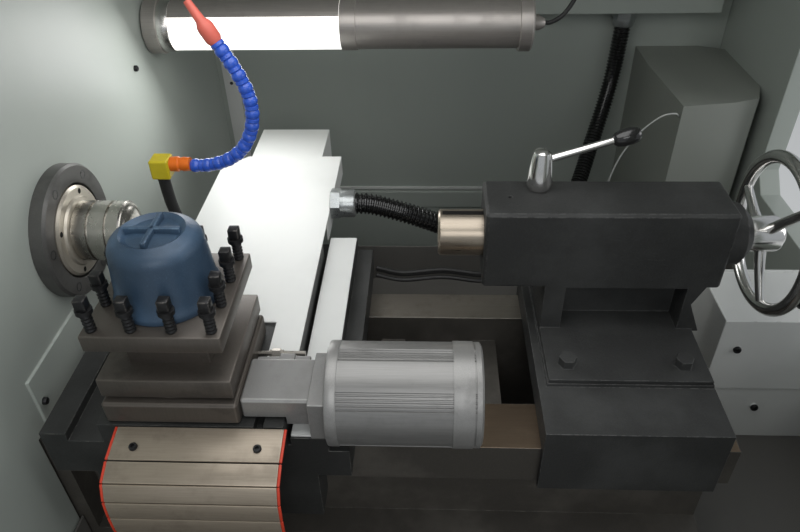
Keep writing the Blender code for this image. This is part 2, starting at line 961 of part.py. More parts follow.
def saddle():
    low = WAY_LEVEL + GAP
    wing = -0.1235
    strip = 0.035
    rear = 0.16
    front = -0.282
    arm = (0.17, 0.337)
    arm_rear = 0.54
    arm_low = low
    arm_top = SADDLE_TOP - 0.04
    skirt = (0.1, 0.4)
    skirt_low = -0.345
    motor_room = -0.1485
    made = block("saddle", (SADDLE_LEFT, SADDLE_RIGHT), (front, rear), (low, SADDLE_TOP), cast_iron())
    left_way = block("left_way", (SADDLE_LEFT, SADDLE_LEFT + strip), (front, rear), (SADDLE_TOP - OVER, wing), cast_iron())
    right_way = block("right_way", (SLIDE_RIGHT + 0.004, 0.4185), (front, rear), (SADDLE_TOP - OVER, wing), cast_iron())
    arm_part = block("arm", arm, (rear - OVER, arm_rear), (arm_low, arm_top), cast_iron())
    apron = block("apron", skirt, (BED_REAR + 0.003, Z_SCREW_V + 0.032), (skirt_low, low + OVER), cast_iron())
    front_apron = block("front_apron", skirt, (front, BED_FRONT - 0.003), (-0.29, low + OVER), cast_iron())
    join(made, left_way, right_way, arm_part, apron, front_apron)
    nut_hole = drum("nut", "U", (0, Z_SCREW_V, Z_SCREW_W), SCREW_R + GAP * 3, (0, 0.5), ROUND, cast_iron())
    gib = 0.02
    notch = block("notch", (0.4185, SADDLE_RIGHT + OVER), (front - OVER, rear + OVER), (motor_room, 0), cast_iron())
    relief = block("relief", (SLIDE_LEFT + gib, SLIDE_RIGHT - gib), (-0.25, rear + OVER), (SADDLE_TOP - 0.04, SADDLE_TOP + OVER), cast_iron())
    cut(made, nut_hole, relief, notch)
    turn_about(made, SADDLE_LEFT, 0, 0)


def saddle_way_cover():
    thick = 0.0035
    low = -0.1235 + GAP
    made = block("saddle_way_cover", (SLIDE_RIGHT + 0.005, 0.418), (-0.28, 0.155), (low, low + thick), white_paint())
    turn_about(made, SADDLE_LEFT, 0, 0)


def cross_drive():
    """The ball screw of the cross slide and the narrow housing over it, with its motor at the rear end."""
    u = 0.2535
    w = -0.1575
    radius = 0.01
    collar = 0.014
    screw_profile = [
        (-0.17, 0),
        (-0.17, radius),
        (0.36, radius),
        (0.36, collar),
        (0.375, collar),
        (0.375, radius * 0.8),
        (0.4, radius * 0.8),
        (0.4, 0),
    ]
    turn_about(turned("cross_screw", "V", (u, 0, w), screw_profile, SMALL, ground_steel()), u, 0, w)
    body_low = SADDLE_TOP - 0.04 + GAP
    left, right = 0.181, 0.326
    top = -0.0965
    wall = 0.002
    front = 0.165
    rear = 0.535
    hood = block("cross_drive_cover", (left, right), (front, rear), (body_low, top), white_paint())
    inside = block("inside", (left + wall, right - wall), (front - OVER, 0.42), (body_low - OVER, top - wall), white_paint())
    cut(hood, inside)
    turn_about(hood, SADDLE_LEFT, 0, 0)


def cross_slide():
    front = -0.29
    low = SADDLE_TOP + GAP
    groove = 0.012
    made = block("cross_slide", (SLIDE_LEFT, SLIDE_RIGHT), (front, SLIDE_REAR), (low, SLIDE_TOP), cast_iron())
    nut = block("nut", (0.235, 0.272), (-0.1, -0.04), (SADDLE_TOP - 0.036, low + OVER), cast_iron())
    join(made, nut)
    bore = drum("bore", "V", (0.2535, 0, -0.1575), 0.0109, (-0.15, 0.0), SMALL, cast_iron())
    slot = block("slot", (0.33, 0.33 + groove), (front - OVER, SLIDE_REAR + OVER), (SLIDE_TOP - groove, SLIDE_TOP + OVER), cast_iron())
    cut(made, bore, slot)
    turn_about(made, SLIDE_LEFT, 0, 0)


def cross_slide_cover():
    top = 0.003
    low = SLIDE_TOP + GAP
    rear = 0.4
    skirt_low = -0.1365 + 0.006
    sheet = 0.003
    corner = 0.045
    lip_front = -0.195
    outline = [
        (SLIDE_LEFT, -0.1),
        (0.325, -0.1),
        (0.325, lip_front),
        (SLIDE_RIGHT, lip_front),
        (SLIDE_RIGHT, rear),
        (SLIDE_LEFT + corner, rear),
        (SLIDE_LEFT, rear - corner),
    ]
    made = plan_prism("cross_slide_cover", outline, (low, low + top), white_paint())
    start = SLIDE_REAR + 0.062
    right_skirt = block("skirt", (SLIDE_RIGHT - sheet, SLIDE_RIGHT), (start, rear), (skirt_low, low + top / 2), white_paint())
    left_skirt = block("skirt", (SLIDE_LEFT, SLIDE_LEFT + sheet), (start, rear - corner), (skirt_low, low + top / 2), white_paint())
    fitting = hex_fitting("fitting", "U", (0, FITTING_V, FITTING_W), (SLIDE_RIGHT - sheet / 2, FITTING_END), white_paint())
    join(made, right_skirt, left_skirt, fitting)
    turn_about(made, SLIDE_LEFT, 0, 0)


def apron_cover():
    """The bowed cover of aluminium slats that hangs in front of the slide."""
    left, right = 0.157, 0.372
    thick = 0.004
    groove = 0.0015
    half_groove = 0.0012
    start = (-0.2903, -0.0945)
    path = [start, (-0.335, -0.104), (-0.36, -0.116), (-0.37, -0.139), (-0.3725, -0.167), (-0.3725, -0.196)]
    pitch = 0.029
    for _ in range(6):
        path.append((path[-1][0], path[-1][1] - pitch))
    outer = []
    inner = []
    for index, (v, w) in enumerate(path):
        before = Vector(path[max(index - 1, 0)])
        after = Vector(path[min(index + 1, len(path) - 1)])
        along = (after - before).normalized()
        normal = Vector((along[1], -along[0]))
        place = Vector((v, w))
        if 0 < index < len(path) - 1:
            for shift, depth in ((-half_groove, 0), (0, groove), (half_groove, 0)):
                outer.append(tuple(place + along * shift - normal * depth))
        else:
            outer.append(tuple(place))
        inner.append(tuple(place - normal * thick) if index else (v, w - thick))
    made = end_prism("apron_slat_cover", outer + inner[::-1], (left, right), aluminium())
    turn_about(made, left, 0, 0)


def tool_post_base():
    u = (0.1455, 0.314)
    front = -0.287
    rear = -0.117
    plate_top = -0.0585
    boss_r = 0.078
    low = POST_BASE
    made = soften(block("tool_post_base", u, (front, rear), (low, plate_top - 0.001), cast_iron()), 0.003)
    apply_modifiers(made)
    boss = drum("boss", "W", (POST_U, POST_V, 0), boss_r, (plate_top - OVER, -0.056 - GAP), FINE, cast_iron())
    pivot = drum("pivot", "W", (POST_U, POST_V, 0), 0.02, (plate_top - OVER, 0.03), ROUND, cast_iron())
    join(made, boss, pivot)
    turn_about(made, POST_U, POST_V, 0)


def apply_modifiers(target):
    graph = bpy.context.evaluated_depsgraph_get()
    result = bpy.data.meshes.new_from_object(target.evaluated_get(graph))
    target.modifiers.clear()
    target.data = result
    return target


def tool_post_block():
    """The turning head: clamp plate, core, tool table and the twelve clamp bolts screwed into it."""
    half = POST_SIDE / 2
    core = half - 0.031
    edge = 0.002
    table_top = POST_TOP - CLAMP_THICK - TOOL_GAP
    table_low = table_top - TABLE_THICK
    clamp_low = POST_TOP - CLAMP_THICK

    def square(size):
        return (POST_U - size, POST_U + size), (POST_V - size, POST_V + size)

    table = apply_modifiers(soften(block("tool_post_block", *square(half), (table_low, table_top), cast_iron()), edge))
    clamp = apply_modifiers(soften(block("clamp", *square(half), (clamp_low, POST_TOP), cast_iron()), edge))
    stem = block("stem", *square(core), (table_top - OVER, clamp_low + OVER), cast_iron())
    join(table, stem, clamp)
    bore = drum("bore", "W", (POST_U, POST_V, 0), 0.0206, (table_low - OVER, 0.032), ROUND, cast_iron())
    cut(table, bore)
    row = half - 0.012
    shares = (-1, -0.34, 0.34, 1)
    places = set()
    for share in shares:
        for fixed in (-1, 1):
            places.add((share, fixed))
            places.add((fixed, share))
    for a, b in sorted(places):
        join(table, clamp_bolt(POST_U + a * row, POST_V + b * row))
    turn_about(table, POST_U, POST_V, 0)


def clamp_bolt(u, v):
    thread_r = 0.0065
    collar_r = 0.0085
    head = 0.0062
    tip = POST_TOP - CLAMP_THICK - 0.006
    neck = POST_TOP + 0.026
    top = POST_TOP + 0.046
    made = turned(
        "bolt",
        "W",
        (u, v, 0),
        [(tip, 0), (tip, thread_r), (neck, thread_r), (neck, collar_r), (neck + 0.005, collar_r), (neck + 0.005, 0)],
        10,
        black_oxide(),
    )
    square = block("head", (u - head, u + head), (v - head, v + head), (neck + 0.003, top), black_oxide())
    return join(made, square)


def tool_post_cap():
    base = POST_TOP + GAP
    profile = [
        (base, 0),
        (base, 0.063),
        (base + 0.006, 0.064),
        (base + 0.014, 0.0605),
        (base + 0.06, 0.056),
        (base + 0.078, 0.052),
        (base + 0.09, 0.043),
        (base + 0.093, 0.036),
        (base + 0.09, 0.033),
        (base + 0.096, 0.018),
        (base + 0.098, 0),
    ]
    made = turned("tool_post_cap", "W", (POST_U, POST_V, 0), profile, FINE, blue_cap_paint())
    rib = 0.003
    span = 0.034
    for flip in (0, 1):
        reach = ((POST_U - span, POST_U + span), (POST_V - rib, POST_V + rib))
        if flip:
            reach = ((POST_U - rib, POST_U + rib), (POST_V - span, POST_V + span))
        join(made, block("rib", *reach, (base + 0.085, base + 0.1), blue_cap_paint()))
    turn_about(made, POST_U, POST_V, 0)


def tool_post_drive():
    """The worm housing beside the post, with the oil union on it."""
    u = (0.3145, 0.4035)
    v = (-0.277, -0.203)
    w = (-0.105, -0.06)
    flange_u = (0.4, 0.4215)
    side = 0.045
    made = apply_modifiers(soften(block("tool_post_drive", u, v, w, aluminium()), 0.003))
    flange = block(
        "flange",
        flange_u,
        (POST_MOTOR_V - side, POST_MOTOR_V + side),
        (POST_MOTOR_W - side + 0.01, POST_MOTOR_W + side - 0.02),
        aluminium(),
    )
    join(made, flange)
    under = block("under", (u[0] - OVER, SLIDE_RIGHT + 0.002), (v[0] - OVER, v[1] + OVER), (w[0] - OVER, SLIDE_TOP + 0.0035 + GAP), aluminium())
    cut(made, under)
    union_v = -0.196
    union_w = -0.074
    start = 0.39
    profile = [
        (start, 0),
        (start, 0.008),
        (start - 0.02, 0.008),
        (start - 0.02, 0.011),
        (start - 0.04, 0.011),
        (start - 0.04, 0.007),
        (start - 0.07, 0.006),
        (start - 0.07, 0),
    ]
    join(made, turned("union", "U", (0, union_v, union_w), profile, 6, aluminium()))
    turn_about(made, POST_U, POST_V, 0)


def tool_post_motor():
    left = 0.4218
    bezel = 0.0145
    body = 0.602
    groove = 0.0014
    centre = (0, POST_MOTOR_V, POST_MOTOR_W)
    seam = 0.57
    profile = [
        (left, 0),
        (left, MOTOR_R - 0.002),
        (left + 0.002, MOTOR_R + 0.001),
        (left + bezel, MOTOR_R + 0.001),
        (left + bezel, MOTOR_R),
        (seam, MOTOR_R),
        (seam + groove, MOTOR_R - groove),
        (seam + 2 * groove, MOTOR_R),
        (body, MOTOR_R),
        (body, MOTOR_R - 0.003),
        (body + 0.0025, MOTOR_R - 0.003),
        (body + 0.0025, MOTOR_R),
        (body + 0.007, MOTOR_R - 0.001),
        (body + 0.009, MOTOR_R - 0.005),
        (body + 0.009, 0),
    ]
    made = turned("tool_post_motor", "U", centre, profile, FINE, aluminium())
    grooves = []
    deep = 0.0022
    half = 0.0011
    rows_share = (-0.5, -0.42, -0.34, 0.02, 0.1, 0.18, 0.55, 0.63, 0.71)
    for share in rows_share:
        angle = math.pi * (0.75 + share * 0.5)
        out = Vector((math.cos(angle), math.sin(angle)))
        across = Vector((-out[1], out[0])) * half
        inner = out * (MOTOR_R - deep)
        outer = out * (MOTOR_R + deep)
        corners = (inner - across, inner + across, outer + across, outer - across)
        outline = [(c[0] + POST_MOTOR_V, c[1] + POST_MOTOR_W) for c in corners]
        grooves.append(end_prism("groove", outline, (left + bezel + 0.006, seam - 0.008), aluminium()))
    cut(made, *grooves)
    turn_about(made, left, POST_MOTOR_V, POST_MOTOR_W)


def coolant_line():
    """The coolant hose that rises behind the tool post to the elbow and the posable segment hose."""
    v = 0.005
    hose_r = 0.0085
    foot_w = SLIDE_TOP + 0.0035 + GAP * 2
    bottom = [at(0.185, v - 0.01, foot_w), at(0.183, v - 0.01, foot_w + 0.05), at(0.176, v, 0.0), at(0.169, v, 0.045), at(0.167, v, 0.091)]
    route = smooth_route(bottom, 3)
    turn_about(swept("coolant_hose", route, [hose_r] * len(route), 12, black_rubber()), 0.185, v, foot_w)
    elbow_low = 0.0914
    elbow = apply_modifiers(
        soften(block("coolant_elbow", (0.1555, 0.1825), (v - 0.0135, v + 0.0135), (elbow_low, elbow_low + 0.029), yellow_plastic()), 0.002)
    )
    spigot = drum("spigot", "U", (0, v, 0.11), 0.0085, (0.18, 0.195), 12, yellow_plastic())
    join(elbow, spigot)
    turn_about(elbow, 0.185, v, foot_w)
    segment_hose(v)


def segment_hose(v):
    guide = [
        at(0.1955, v, 0.11), at(0.2, v, 0.11), at(0.225, v, 0.107), at(0.26, v - 0.004, 0.116), at(0.29, v - 0.008, 0.137),
        at(0.309, v - 0.01, 0.172), at(0.312, v - 0.01, 0.21), at(0.3, v - 0.008, 0.246), at(0.279, v - 0.004, 0.283),
    ]
    route = smooth_route(guide, 12)
    count = 16
    places = []
    radii = []
    ball_shares = ((0.0, 0.7), (0.3, 1.0), (0.7, 0.92))
    ball = 0.0098
    total = len(route) - 1
    for index in range(count):
        for along, size in ball_shares:
            spot = (index + along) / count * total
            base = min(int(spot), total - 1)
            places.append(route[base].lerp(route[base + 1], spot - base))
            radii.append(ball * size)
    turn_about(swept("coolant_segments", places, radii, 8, blue_plastic()), 0.185, v, 0.1)
    end = places[-1]
    along = (places[-1] - places[-2]).normalized()
    nozzle_shares = ((0.006, 0.6), (0.1, 0.95), (0.35, 1.0), (0.5, 0.85), (0.62, 0.62), (0.75, 0.58), (1.0, 0.46))
    length = 0.058
    points = [end + along * (length * share) for share, _ in nozzle_shares]
    sizes = [0.0105 * size for _, size in nozzle_shares]
    turn_about(swept("coolant_nozzle", points, sizes, 12, red_plastic()), 0.185, v, 0.1)


def tailstock_base():
    left, right = 0.701, 0.948
    front = -0.243
    rear = 0.112
    skirt = -0.275
    ledge = 0.006
    made = block("tailstock_base", (left, right), (front, rear), (WAY_LEVEL + GAP, BASE_TOP - ledge), cast_iron())
    lip = block("lip", (left, right), (front, BED_FRONT - 0.001), (skirt, WAY_LEVEL + OVER), cast_iron())
    rear_lip = block("rear_lip", (left, right), (BED_REAR + 0.001, rear), (skirt + 0.03, WAY_LEVEL + OVER), cast_iron())
    step = block("step", (left + 0.012, right - 0.002), (-0.158, rear), (BASE_TOP - ledge - OVER, BASE_TOP), cast_iron())
    guide = block(
        "guide", (left + 0.02, right - 0.02), (BED_FRONT + FRONT_WAY + 0.001, BED_REAR - REAR_WAY - 0.001), (WAY_LEVEL - 0.04, WAY_LEVEL + OVER), cast_iron()
    )
    join(made, lip, rear_lip, step, guide)
    turn_about(made, TAIL_LEFT, 0, 0)


def tailstock_body():
    bore = QUILL_R + GAP * 2
    foot_low = BASE_TOP + GAP
    foot_top = -0.143
    leg_left = 0.715
    leg_right = 0.955
    recess = (0.746, 0.921)
    depth = 0.02
    bolt_r = 0.008
    made = apply_modifiers(
        soften(block("tailstock_body", (TAIL_LEFT, TAIL_RIGHT), (-TAIL_HALF, TAIL_HALF), (TAIL_UNDER, TAIL_TOP), cast_iron()), 0.004)
    )
    web = front_prism(
        "web",
        [
            (leg_left, TAIL_UNDER + OVER),
            (leg_left, foot_top - OVER / 2),
            (leg_right, foot_top - OVER / 2),
            (leg_right - 0.022, TAIL_UNDER - 0.03),
            (leg_right - 0.004, TAIL_UNDER + OVER),
        ],
        (-TAIL_HALF, TAIL_HALF),
        cast_iron(),
    )
    foot = block("foot", (leg_left, leg_right - 0.011), (-0.157, 0.1), (foot_low, foot_top), cast_iron())
    join(made, web, foot)
    window = front_prism(
        "window",
        [(recess[0], TAIL_UNDER), (recess[0], foot_top), (recess[1], foot_top), (recess[1], TAIL_UNDER)],
        (-TAIL_HALF - OVER, -TAIL_HALF + depth * 2),
        cast_iron(),
    )
    hole = drum("hole", "U", (0, 0, 0), bore, (TAIL_LEFT - OVER, TAIL_RIGHT - 0.02), FINE, cast_iron())
    shaft = drum("shaft", "U", (0, 0, 0), 0.0153, (TAIL_RIGHT - 0.03, TAIL_RIGHT + OVER), ROUND, cast_iron())
    oil = drum("oil", "W", (0.659, 0, 0), 0.003, (QUILL_R + 0.004, TAIL_TOP + OVER), 8, cast_iron())
    lever_hole = drum("lever_hole", "W", (0.702, 0.026, 0), bolt_r, (0.045, TAIL_TOP + OVER), SMALL, cast_iron())
    cut(made, window, hole, shaft, oil, lever_hole)
    for u in (leg_left + 0.03, leg_right - 0.045):
        head = drum("nut", "W", (u, -0.125, 0), 0.013, (foot_top - OVER / 2, foot_top + 0.014), 6, cast_iron())
        join(made, head)
    join(made, tailstock_end_cap())
    turn_about(made, TAIL_LEFT, 0, 0)


def tailstock_quill():
    tail = 0.88
    taper_mouth = 0.0155
    taper_end = 0.0125
    depth = 0.09
    chamfer = 0.003
    screw_bore = 0.0122
    profile = [
        (QUILL_TIP, taper_mouth),
        (QUILL_TIP, QUILL_R - chamfer),
        (QUILL_TIP + chamfer, QUILL_R),
        (tail, QUILL_R),
        (tail, screw_bore),
        (tail - 0.22, screw_bore),
        (QUILL_TIP + depth, screw_bore),
        (QUILL_TIP + depth - 0.01, taper_end),
    ]
    made = turned("tailstock_quill", "U", (0, 0, 0), profile, FINE, ground_steel())
    key = 0.004
    slot = block("slot", (QUILL_TIP + 0.012, tail + OVER), (-key, key), (QUILL_R - key, QUILL_R + OVER), ground_steel())
    cut(made, slot)
    turn_about(made, QUILL_TIP, 0, 0)


def tailstock_handwheel():
    """The chrome wheel with its hub, three spokes, crank grip and the screw that drives the quill."""
    rim_r = 0.0095
    hub_r = 0.026
    shaft_r = 0.015
    screw_r = 0.0115
    ring_points = circle(rim_r, 8, (WHEEL_U, WHEEL_R - rim_r / 2))
    made = turned("tailstock_handwheel", "U", (0, 0, 0), ring_points, FINE, chrome())
    hub_profile = [
        (TAIL_RIGHT - 0.25, 0),
        (TAIL_RIGHT - 0.25, screw_r),
        (TAIL_RIGHT - 0.0195, screw_r),
        (TAIL_RIGHT - 0.0195, shaft_r),
        (TAIL_RIGHT + 0.0345, shaft_r),
        (TAIL_RIGHT + 0.0345, hub_r),
        (WHEEL_U + 0.008, hub_r),
        (WHEEL_U + 0.014, hub_r * 0.7),
        (WHEEL_U + 0.014, 0),
    ]
    hub = turned("hub", "U", (0, 0, 0), hub_profile, ROUND, chrome())
    join(made, hub)
    spoke_r = 0.0075
    inward = 0.012
    for index in range(3):
        angle = math.radians(10 + 120 * index)
        out = Vector((0, math.cos(angle), math.sin(angle)))
        start = at(WHEEL_U - inward, 0, 0) + out * (hub_r * 0.5)
        end = at(WHEEL_U, 0, 0) + out * (WHEEL_R - rim_r / 2)
        join(made, swept("spoke", [start, end], [spoke_r, spoke_r * 0.8], 8, chrome()))
    grip_angle = math.radians(205)
    reach = WHEEL_R - 0.006
    grip = [
        (WHEEL_U - 0.004, 0),
        (WHEEL_U - 0.004, 0.005),
        (WHEEL_U + 0.014, 0.006),
        (WHEEL_U + 0.014, 0.0105),
        (WHEEL_U + 0.05, 0.013),
        (WHEEL_U + 0.07, 0.009),
        (WHEEL_U + 0.074, 0),
    ]
    centre = (0, reach * math.cos(grip_angle), reach * math.sin(grip_angle))
    join(made, turned("grip", "U", centre, grip, 8, chrome()))
    turn_about(made, WHEEL_U, 0, 0)


def tailstock_end_cap():
    """The bearing cap between the tailstock and its handwheel."""
    profile = [
        (TAIL_RIGHT - 0.005, 0.0153),
        (TAIL_RIGHT - 0.005, 0.047),
        (TAIL_RIGHT + 0.02, 0.045),
        (TAIL_RIGHT + 0.034, 0.03),
        (TAIL_RIGHT + 0.034, 0.0153),
    ]
    return turned("end_cap", "U", (0, 0, 0), profile, ROUND, cast_iron())


def tailstock_lever():
    """The quill clamp: a chrome cone on its stud, a rod and a black knob."""
    u, v = 0.702, 0.026
    base = TAIL_TOP + GAP
    profile = [
        (0.0455, 0),
        (0.0455, 0.0075),
        (base + 0.0005, 0.0075),
        (base + 0.0005, 0.016),
        (base + 0.006, 0.019),
        (base + 0.055, 0.0135),
        (base + 0.06, 0.01),
        (base + 0.061, 0),
    ]
    made = turned("tailstock_lever", "W", (u, v, 0), profile, 24, chrome())
    start = at(u, v, base + 0.042)
    run = Vector((0.105, 0.012, 0.028))
    rod = swept("rod", [start, start + run], [0.0055, 0.0055], 12, chrome())
    along = run.normalized()
    knob_shares = ((-0.14, 0.5), (0.0, 0.85), (0.3, 1.0), (0.85, 1.0), (1.0, 0.75))
    length = 0.034
    radius = 0.0125
    places = [start + run + along * (length * (share - 0.1)) for share, _ in knob_shares]
    knob = swept("knob", places, [radius * size for _, size in knob_shares], 14, black_rubber())
    join(made, rod, knob)
    turn_about(made, u, v, base)


def z_drive():
    """The ball screw of the saddle behind the bed, and its motor behind the inner wall."""
    left = -0.05
    journal = SCREW_R * 0.7
    profile = [
        (left, 0),
        (left, journal),
        (0.02, journal),
        (0.02, SCREW_R),
        (Z_SCREW_RIGHT - 0.03, SCREW_R),
        (Z_SCREW_RIGHT - 0.03, journal),
        (Z_SCREW_RIGHT, journal),
        (Z_SCREW_RIGHT, 0),
    ]
    centre = (0, Z_SCREW_V, Z_SCREW_W)
    turn_about(turned("z_screw", "U", centre, profile, 24, ground_steel()), 0, Z_SCREW_V, Z_SCREW_W)
    side = 0.05
    motor = block(
        "z_motor",
        (-0.27, left - GAP * 3),
        (BED_REAR + GAP * 4, Z_SCREW_V + side),
        (Z_SCREW_W - side, Z_SCREW_W + side),
        dark_paint(),
    )
    tail = block("tail", (-0.3, -0.27 + OVER), (BED_REAR + 0.02, Z_SCREW_V + side - 0.01), (Z_SCREW_W - 0.03, Z_SCREW_W + 0.03), dark_paint())
    join(motor, tail)


def end_box():
    """The white cover beside the right end of the bed."""
    left = 1.03
    front = 0.019
    rear = 0.16
    low = -0.5
    top = -0.187
    rim = 0.004
    sink = 0.003
    made = block("bed_end_cover", (left, RIGHT_WALL - GAP), (front, rear), (BED_BOTTOM, top), white_paint())
    tray = block("tray", (left + rim, RIGHT_WALL + OVER), (front + rim, rear - rim), (top - sink, top + OVER), white_paint())
    fold = 0.158
    step = 0.004
    lower = block("lower", (left - OVER, RIGHT_WALL + OVER), (front - OVER, front + step), (low - OVER, top - fold), white_paint())
    cut(made, tray, lower)
    wall_room = block("wall_room", (1.2485, RIGHT_WALL + OVER), (front - OVER, rear + OVER), (low - OVER, BED_BOTTOM + 0.0975), white_paint())
    cut(made, wall_room)
    for u, w in ((1.064, -0.249), (1.133, -0.392)):
        join(made, drum("screw", "V", (u, 0, w), 0.006, (front - 0.003, front + OVER), SMALL, white_paint()))


def junction_box():
    """The box in the rear right corner that the cables run into."""
    top = -0.03
    low = -0.42
    outline = [(1.05, 0.73), (1.065, 0.502), (1.177, 0.52), (1.232, 0.542), (1.2565, 0.605), (1.2565, 0.829), (1.2, 0.8545), (1.05, 0.8545)]
    made = plan_prism("junction_box", outline, (low, top), white_paint())
    screw = drum("screw", "V", (1.1, 0, -0.3), 0.006, (0.5, 0.52), SMALL, white_paint())
    return join(made, screw)


def cable_beam():
    low = 0.068
    made = block("cable_beam", (0.62, 1.21), (0.79, BACK_WALL - GAP), (low, low + 0.09), panel_paint())
    groove = block("groove", (0.6, 1.23), (0.78, 0.794), (low + 0.075, low + 0.08), panel_paint())
    cut(made, groove)
    fitting = hex_fitting("fitting", "W", (BEAM_FITTING_U, BEAM_FITTING_V, 0), (low - BEAM_FITTING_END, low + 0.002), panel_paint())
    return join(made, fitting)


def work_lamp():
    """The tube lamp over the chamber: housing with end caps and brackets, and its glass tube."""
    v, w = 0.49, 0.146
    cap_r = 0.052
    tube_r = 0.046
    left = 0.003
    joint = 0.375
    right = 0.738
    cap = 0.026
    housing_profile = [
        (joint, 0),
        (joint, tube_r + 0.002),
        (joint + 0.03, tube_r + 0.002),
        (joint + 0.03, tube_r),
        (right - cap, tube_r),
        (right - cap, cap_r),
        (right - 0.004, cap_r),
        (right, cap_r - 0.004),
        (right, 0),
    ]
    housing = turned("work_lamp_housing", "U", (0, v, w), housing_profile, ROUND, aluminium())
    bracket_r = 0.012
    bracket = block("bracket", (right - cap, right - cap + bracket_r), (v, BACK_WALL - GAP * 2), (w + 0.02, w + 0.032), aluminium())
    gland = turned("gland", "U", (0, v, w), [(right - OVER, 0), (right - OVER, 0.014), (right + 0.012, 0.014), (right + 0.024, 0.008), (right + 0.024, 0)], 12, aluminium())
    join(housing, bracket, gland)
    end_profile = [(left, 0), (left, cap_r), (left + cap, cap_r), (left + cap, 0)]
    end = turned("work_lamp_end_cap", "U", (0, v, w), end_profile, ROUND, aluminium())
    end_bracket = block("bracket", (left + 0.004, left + 0.004 + bracket_r), (v, BACK_WALL - GAP * 2), (w + 0.02, w + 0.032), aluminium())
    join(end, end_bracket)
    drum("work_lamp_tube", "U", (0, v, w), tube_r, (left + cap + GAP, joint - GAP), ROUND, clear_glass())


def hex_fitting(name, axis, centre, along, paint):
    radius = 0.0235
    collar = 0.0215
    middle = along[0] + (along[1] - along[0]) * 0.45
    profile = [(along[0], 0), (along[0], radius), (middle, radius), (middle, collar), (along[1], collar), (along[1], 0)]
    return turned(name, axis, centre, profile, 12, paint)


def conduit():
    """The corrugated hose from the cross slide's cover, behind the tailstock, up to the cable beam."""
    start = at(FITTING_END + GAP, FITTING_V, FITTING_W)
    end = at(BEAM_FITTING_U, BEAM_FITTING_V, 0.068 - BEAM_FITTING_END - GAP)
    stub = 0.008
    guide = [
        at(FITTING_END + GAP + stub, FITTING_V, FITTING_W),
        at(0.45, FITTING_V, FITTING_W - 0.004),
        at(0.53, FITTING_V, FITTING_W - 0.03),
        at(0.62, FITTING_V + 0.02, -0.175),
        at(0.72, FITTING_V + 0.09, -0.28),
        at(0.81, 0.45, -0.34),
        at(0.89, 0.6, -0.32),
        at(0.95, 0.73, -0.22),
        at(0.99, 0.805, -0.1),
        at(BEAM_FITTING_U, BEAM_FITTING_V, 0.068 - BEAM_FITTING_END - GAP - stub),
    ]
    route = [start, *smooth_route(guide, 4), end]
    swept("cable_conduit", route, [CONDUIT_R] * len(route), 8, black_rubber())


def build():
    clear_scene()
    machine_base()
    chip_tray()
    bed()
    headstock()
    bearing_cover()
    spindle()
    spindle_arbor()
    pulley("spindle_pulley", SPINDLE_PULLEY_R, 0.0453, 0, ground_steel())
    pulley("motor_pulley", MOTOR_PULLEY_R, 0.0193, -MOTOR_DROP, ground_steel())
    drive_belt()
    spindle_motor()
    motor_mount()
    partition_panel()
    back_panel()
    right_panel()
    left_panel()
    rear_cabinet()
    roof_panel()
    front_panels()
    door_rail()
    sliding_door()
    door_handle()
    operator_panel()
    saddle()
    saddle_way_cover()
    cross_drive()
    cross_slide()
    cross_slide_cover()
    apron_cover()
    tool_post_base()
    tool_post_block()
    tool_post_cap()
    tool_post_drive()
    tool_post_motor()
    coolant_line()
    tailstock_base()
    tailstock_body()
    tailstock_quill()
    tailstock_handwheel()
    tailstock_lever()
    z_drive()
    end_box()
    junction_box()
    cable_beam()
    work_lamp()
    conduit()


build()
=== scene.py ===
"""Looks of a CNC turning lathe: finishes, fasteners, covers, hoses, lamp, door, controls and the stage."""

import json
import math

import bmesh
import bpy
from mathutils import Matrix, Vector
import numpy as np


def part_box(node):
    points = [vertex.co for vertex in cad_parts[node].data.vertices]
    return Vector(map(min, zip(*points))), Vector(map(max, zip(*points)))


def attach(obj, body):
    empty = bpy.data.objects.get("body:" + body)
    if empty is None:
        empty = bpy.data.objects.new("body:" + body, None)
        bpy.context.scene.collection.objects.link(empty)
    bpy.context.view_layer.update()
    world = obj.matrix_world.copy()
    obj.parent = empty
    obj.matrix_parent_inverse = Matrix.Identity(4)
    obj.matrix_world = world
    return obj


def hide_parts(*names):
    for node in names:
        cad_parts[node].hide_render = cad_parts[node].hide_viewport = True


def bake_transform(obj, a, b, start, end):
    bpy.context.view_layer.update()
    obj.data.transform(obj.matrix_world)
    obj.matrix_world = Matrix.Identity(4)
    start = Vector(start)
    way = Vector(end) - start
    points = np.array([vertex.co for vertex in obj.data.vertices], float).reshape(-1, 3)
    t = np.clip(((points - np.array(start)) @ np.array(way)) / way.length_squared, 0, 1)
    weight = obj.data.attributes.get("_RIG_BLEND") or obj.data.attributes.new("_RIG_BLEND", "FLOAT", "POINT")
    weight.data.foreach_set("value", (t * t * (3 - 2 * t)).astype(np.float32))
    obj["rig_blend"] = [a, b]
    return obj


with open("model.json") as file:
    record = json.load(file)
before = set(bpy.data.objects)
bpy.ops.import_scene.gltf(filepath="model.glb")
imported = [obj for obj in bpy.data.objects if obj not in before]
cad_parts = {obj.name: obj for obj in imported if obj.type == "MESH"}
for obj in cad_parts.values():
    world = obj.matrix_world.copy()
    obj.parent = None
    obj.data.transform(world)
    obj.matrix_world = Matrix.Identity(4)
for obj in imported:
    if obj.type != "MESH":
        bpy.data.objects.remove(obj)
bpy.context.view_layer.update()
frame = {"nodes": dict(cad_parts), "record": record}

bl_info = {
    "name": "Turning lathe dresser",
    "version": (1, 0, 0),
    "blender": (4, 5, 0),
    "location": "View3D > Sidebar > Lathe",
    "description": "Dresses a turning lathe with its finishes and small pieces",
    "category": "Object",
}

# The datum: u from the inner left wall, v from the spindle axis to the rear, w from the spindle axis upwards.
DATUM = Vector((-0.15, -0.065, 1.08))
ALONG = Vector((1, 0, 0))
BACK = Vector((0, 1, 0))
UP = Vector((0, 0, 1))


def at(u, v, w):
    return DATUM + Vector((u, v, w))


# Materials


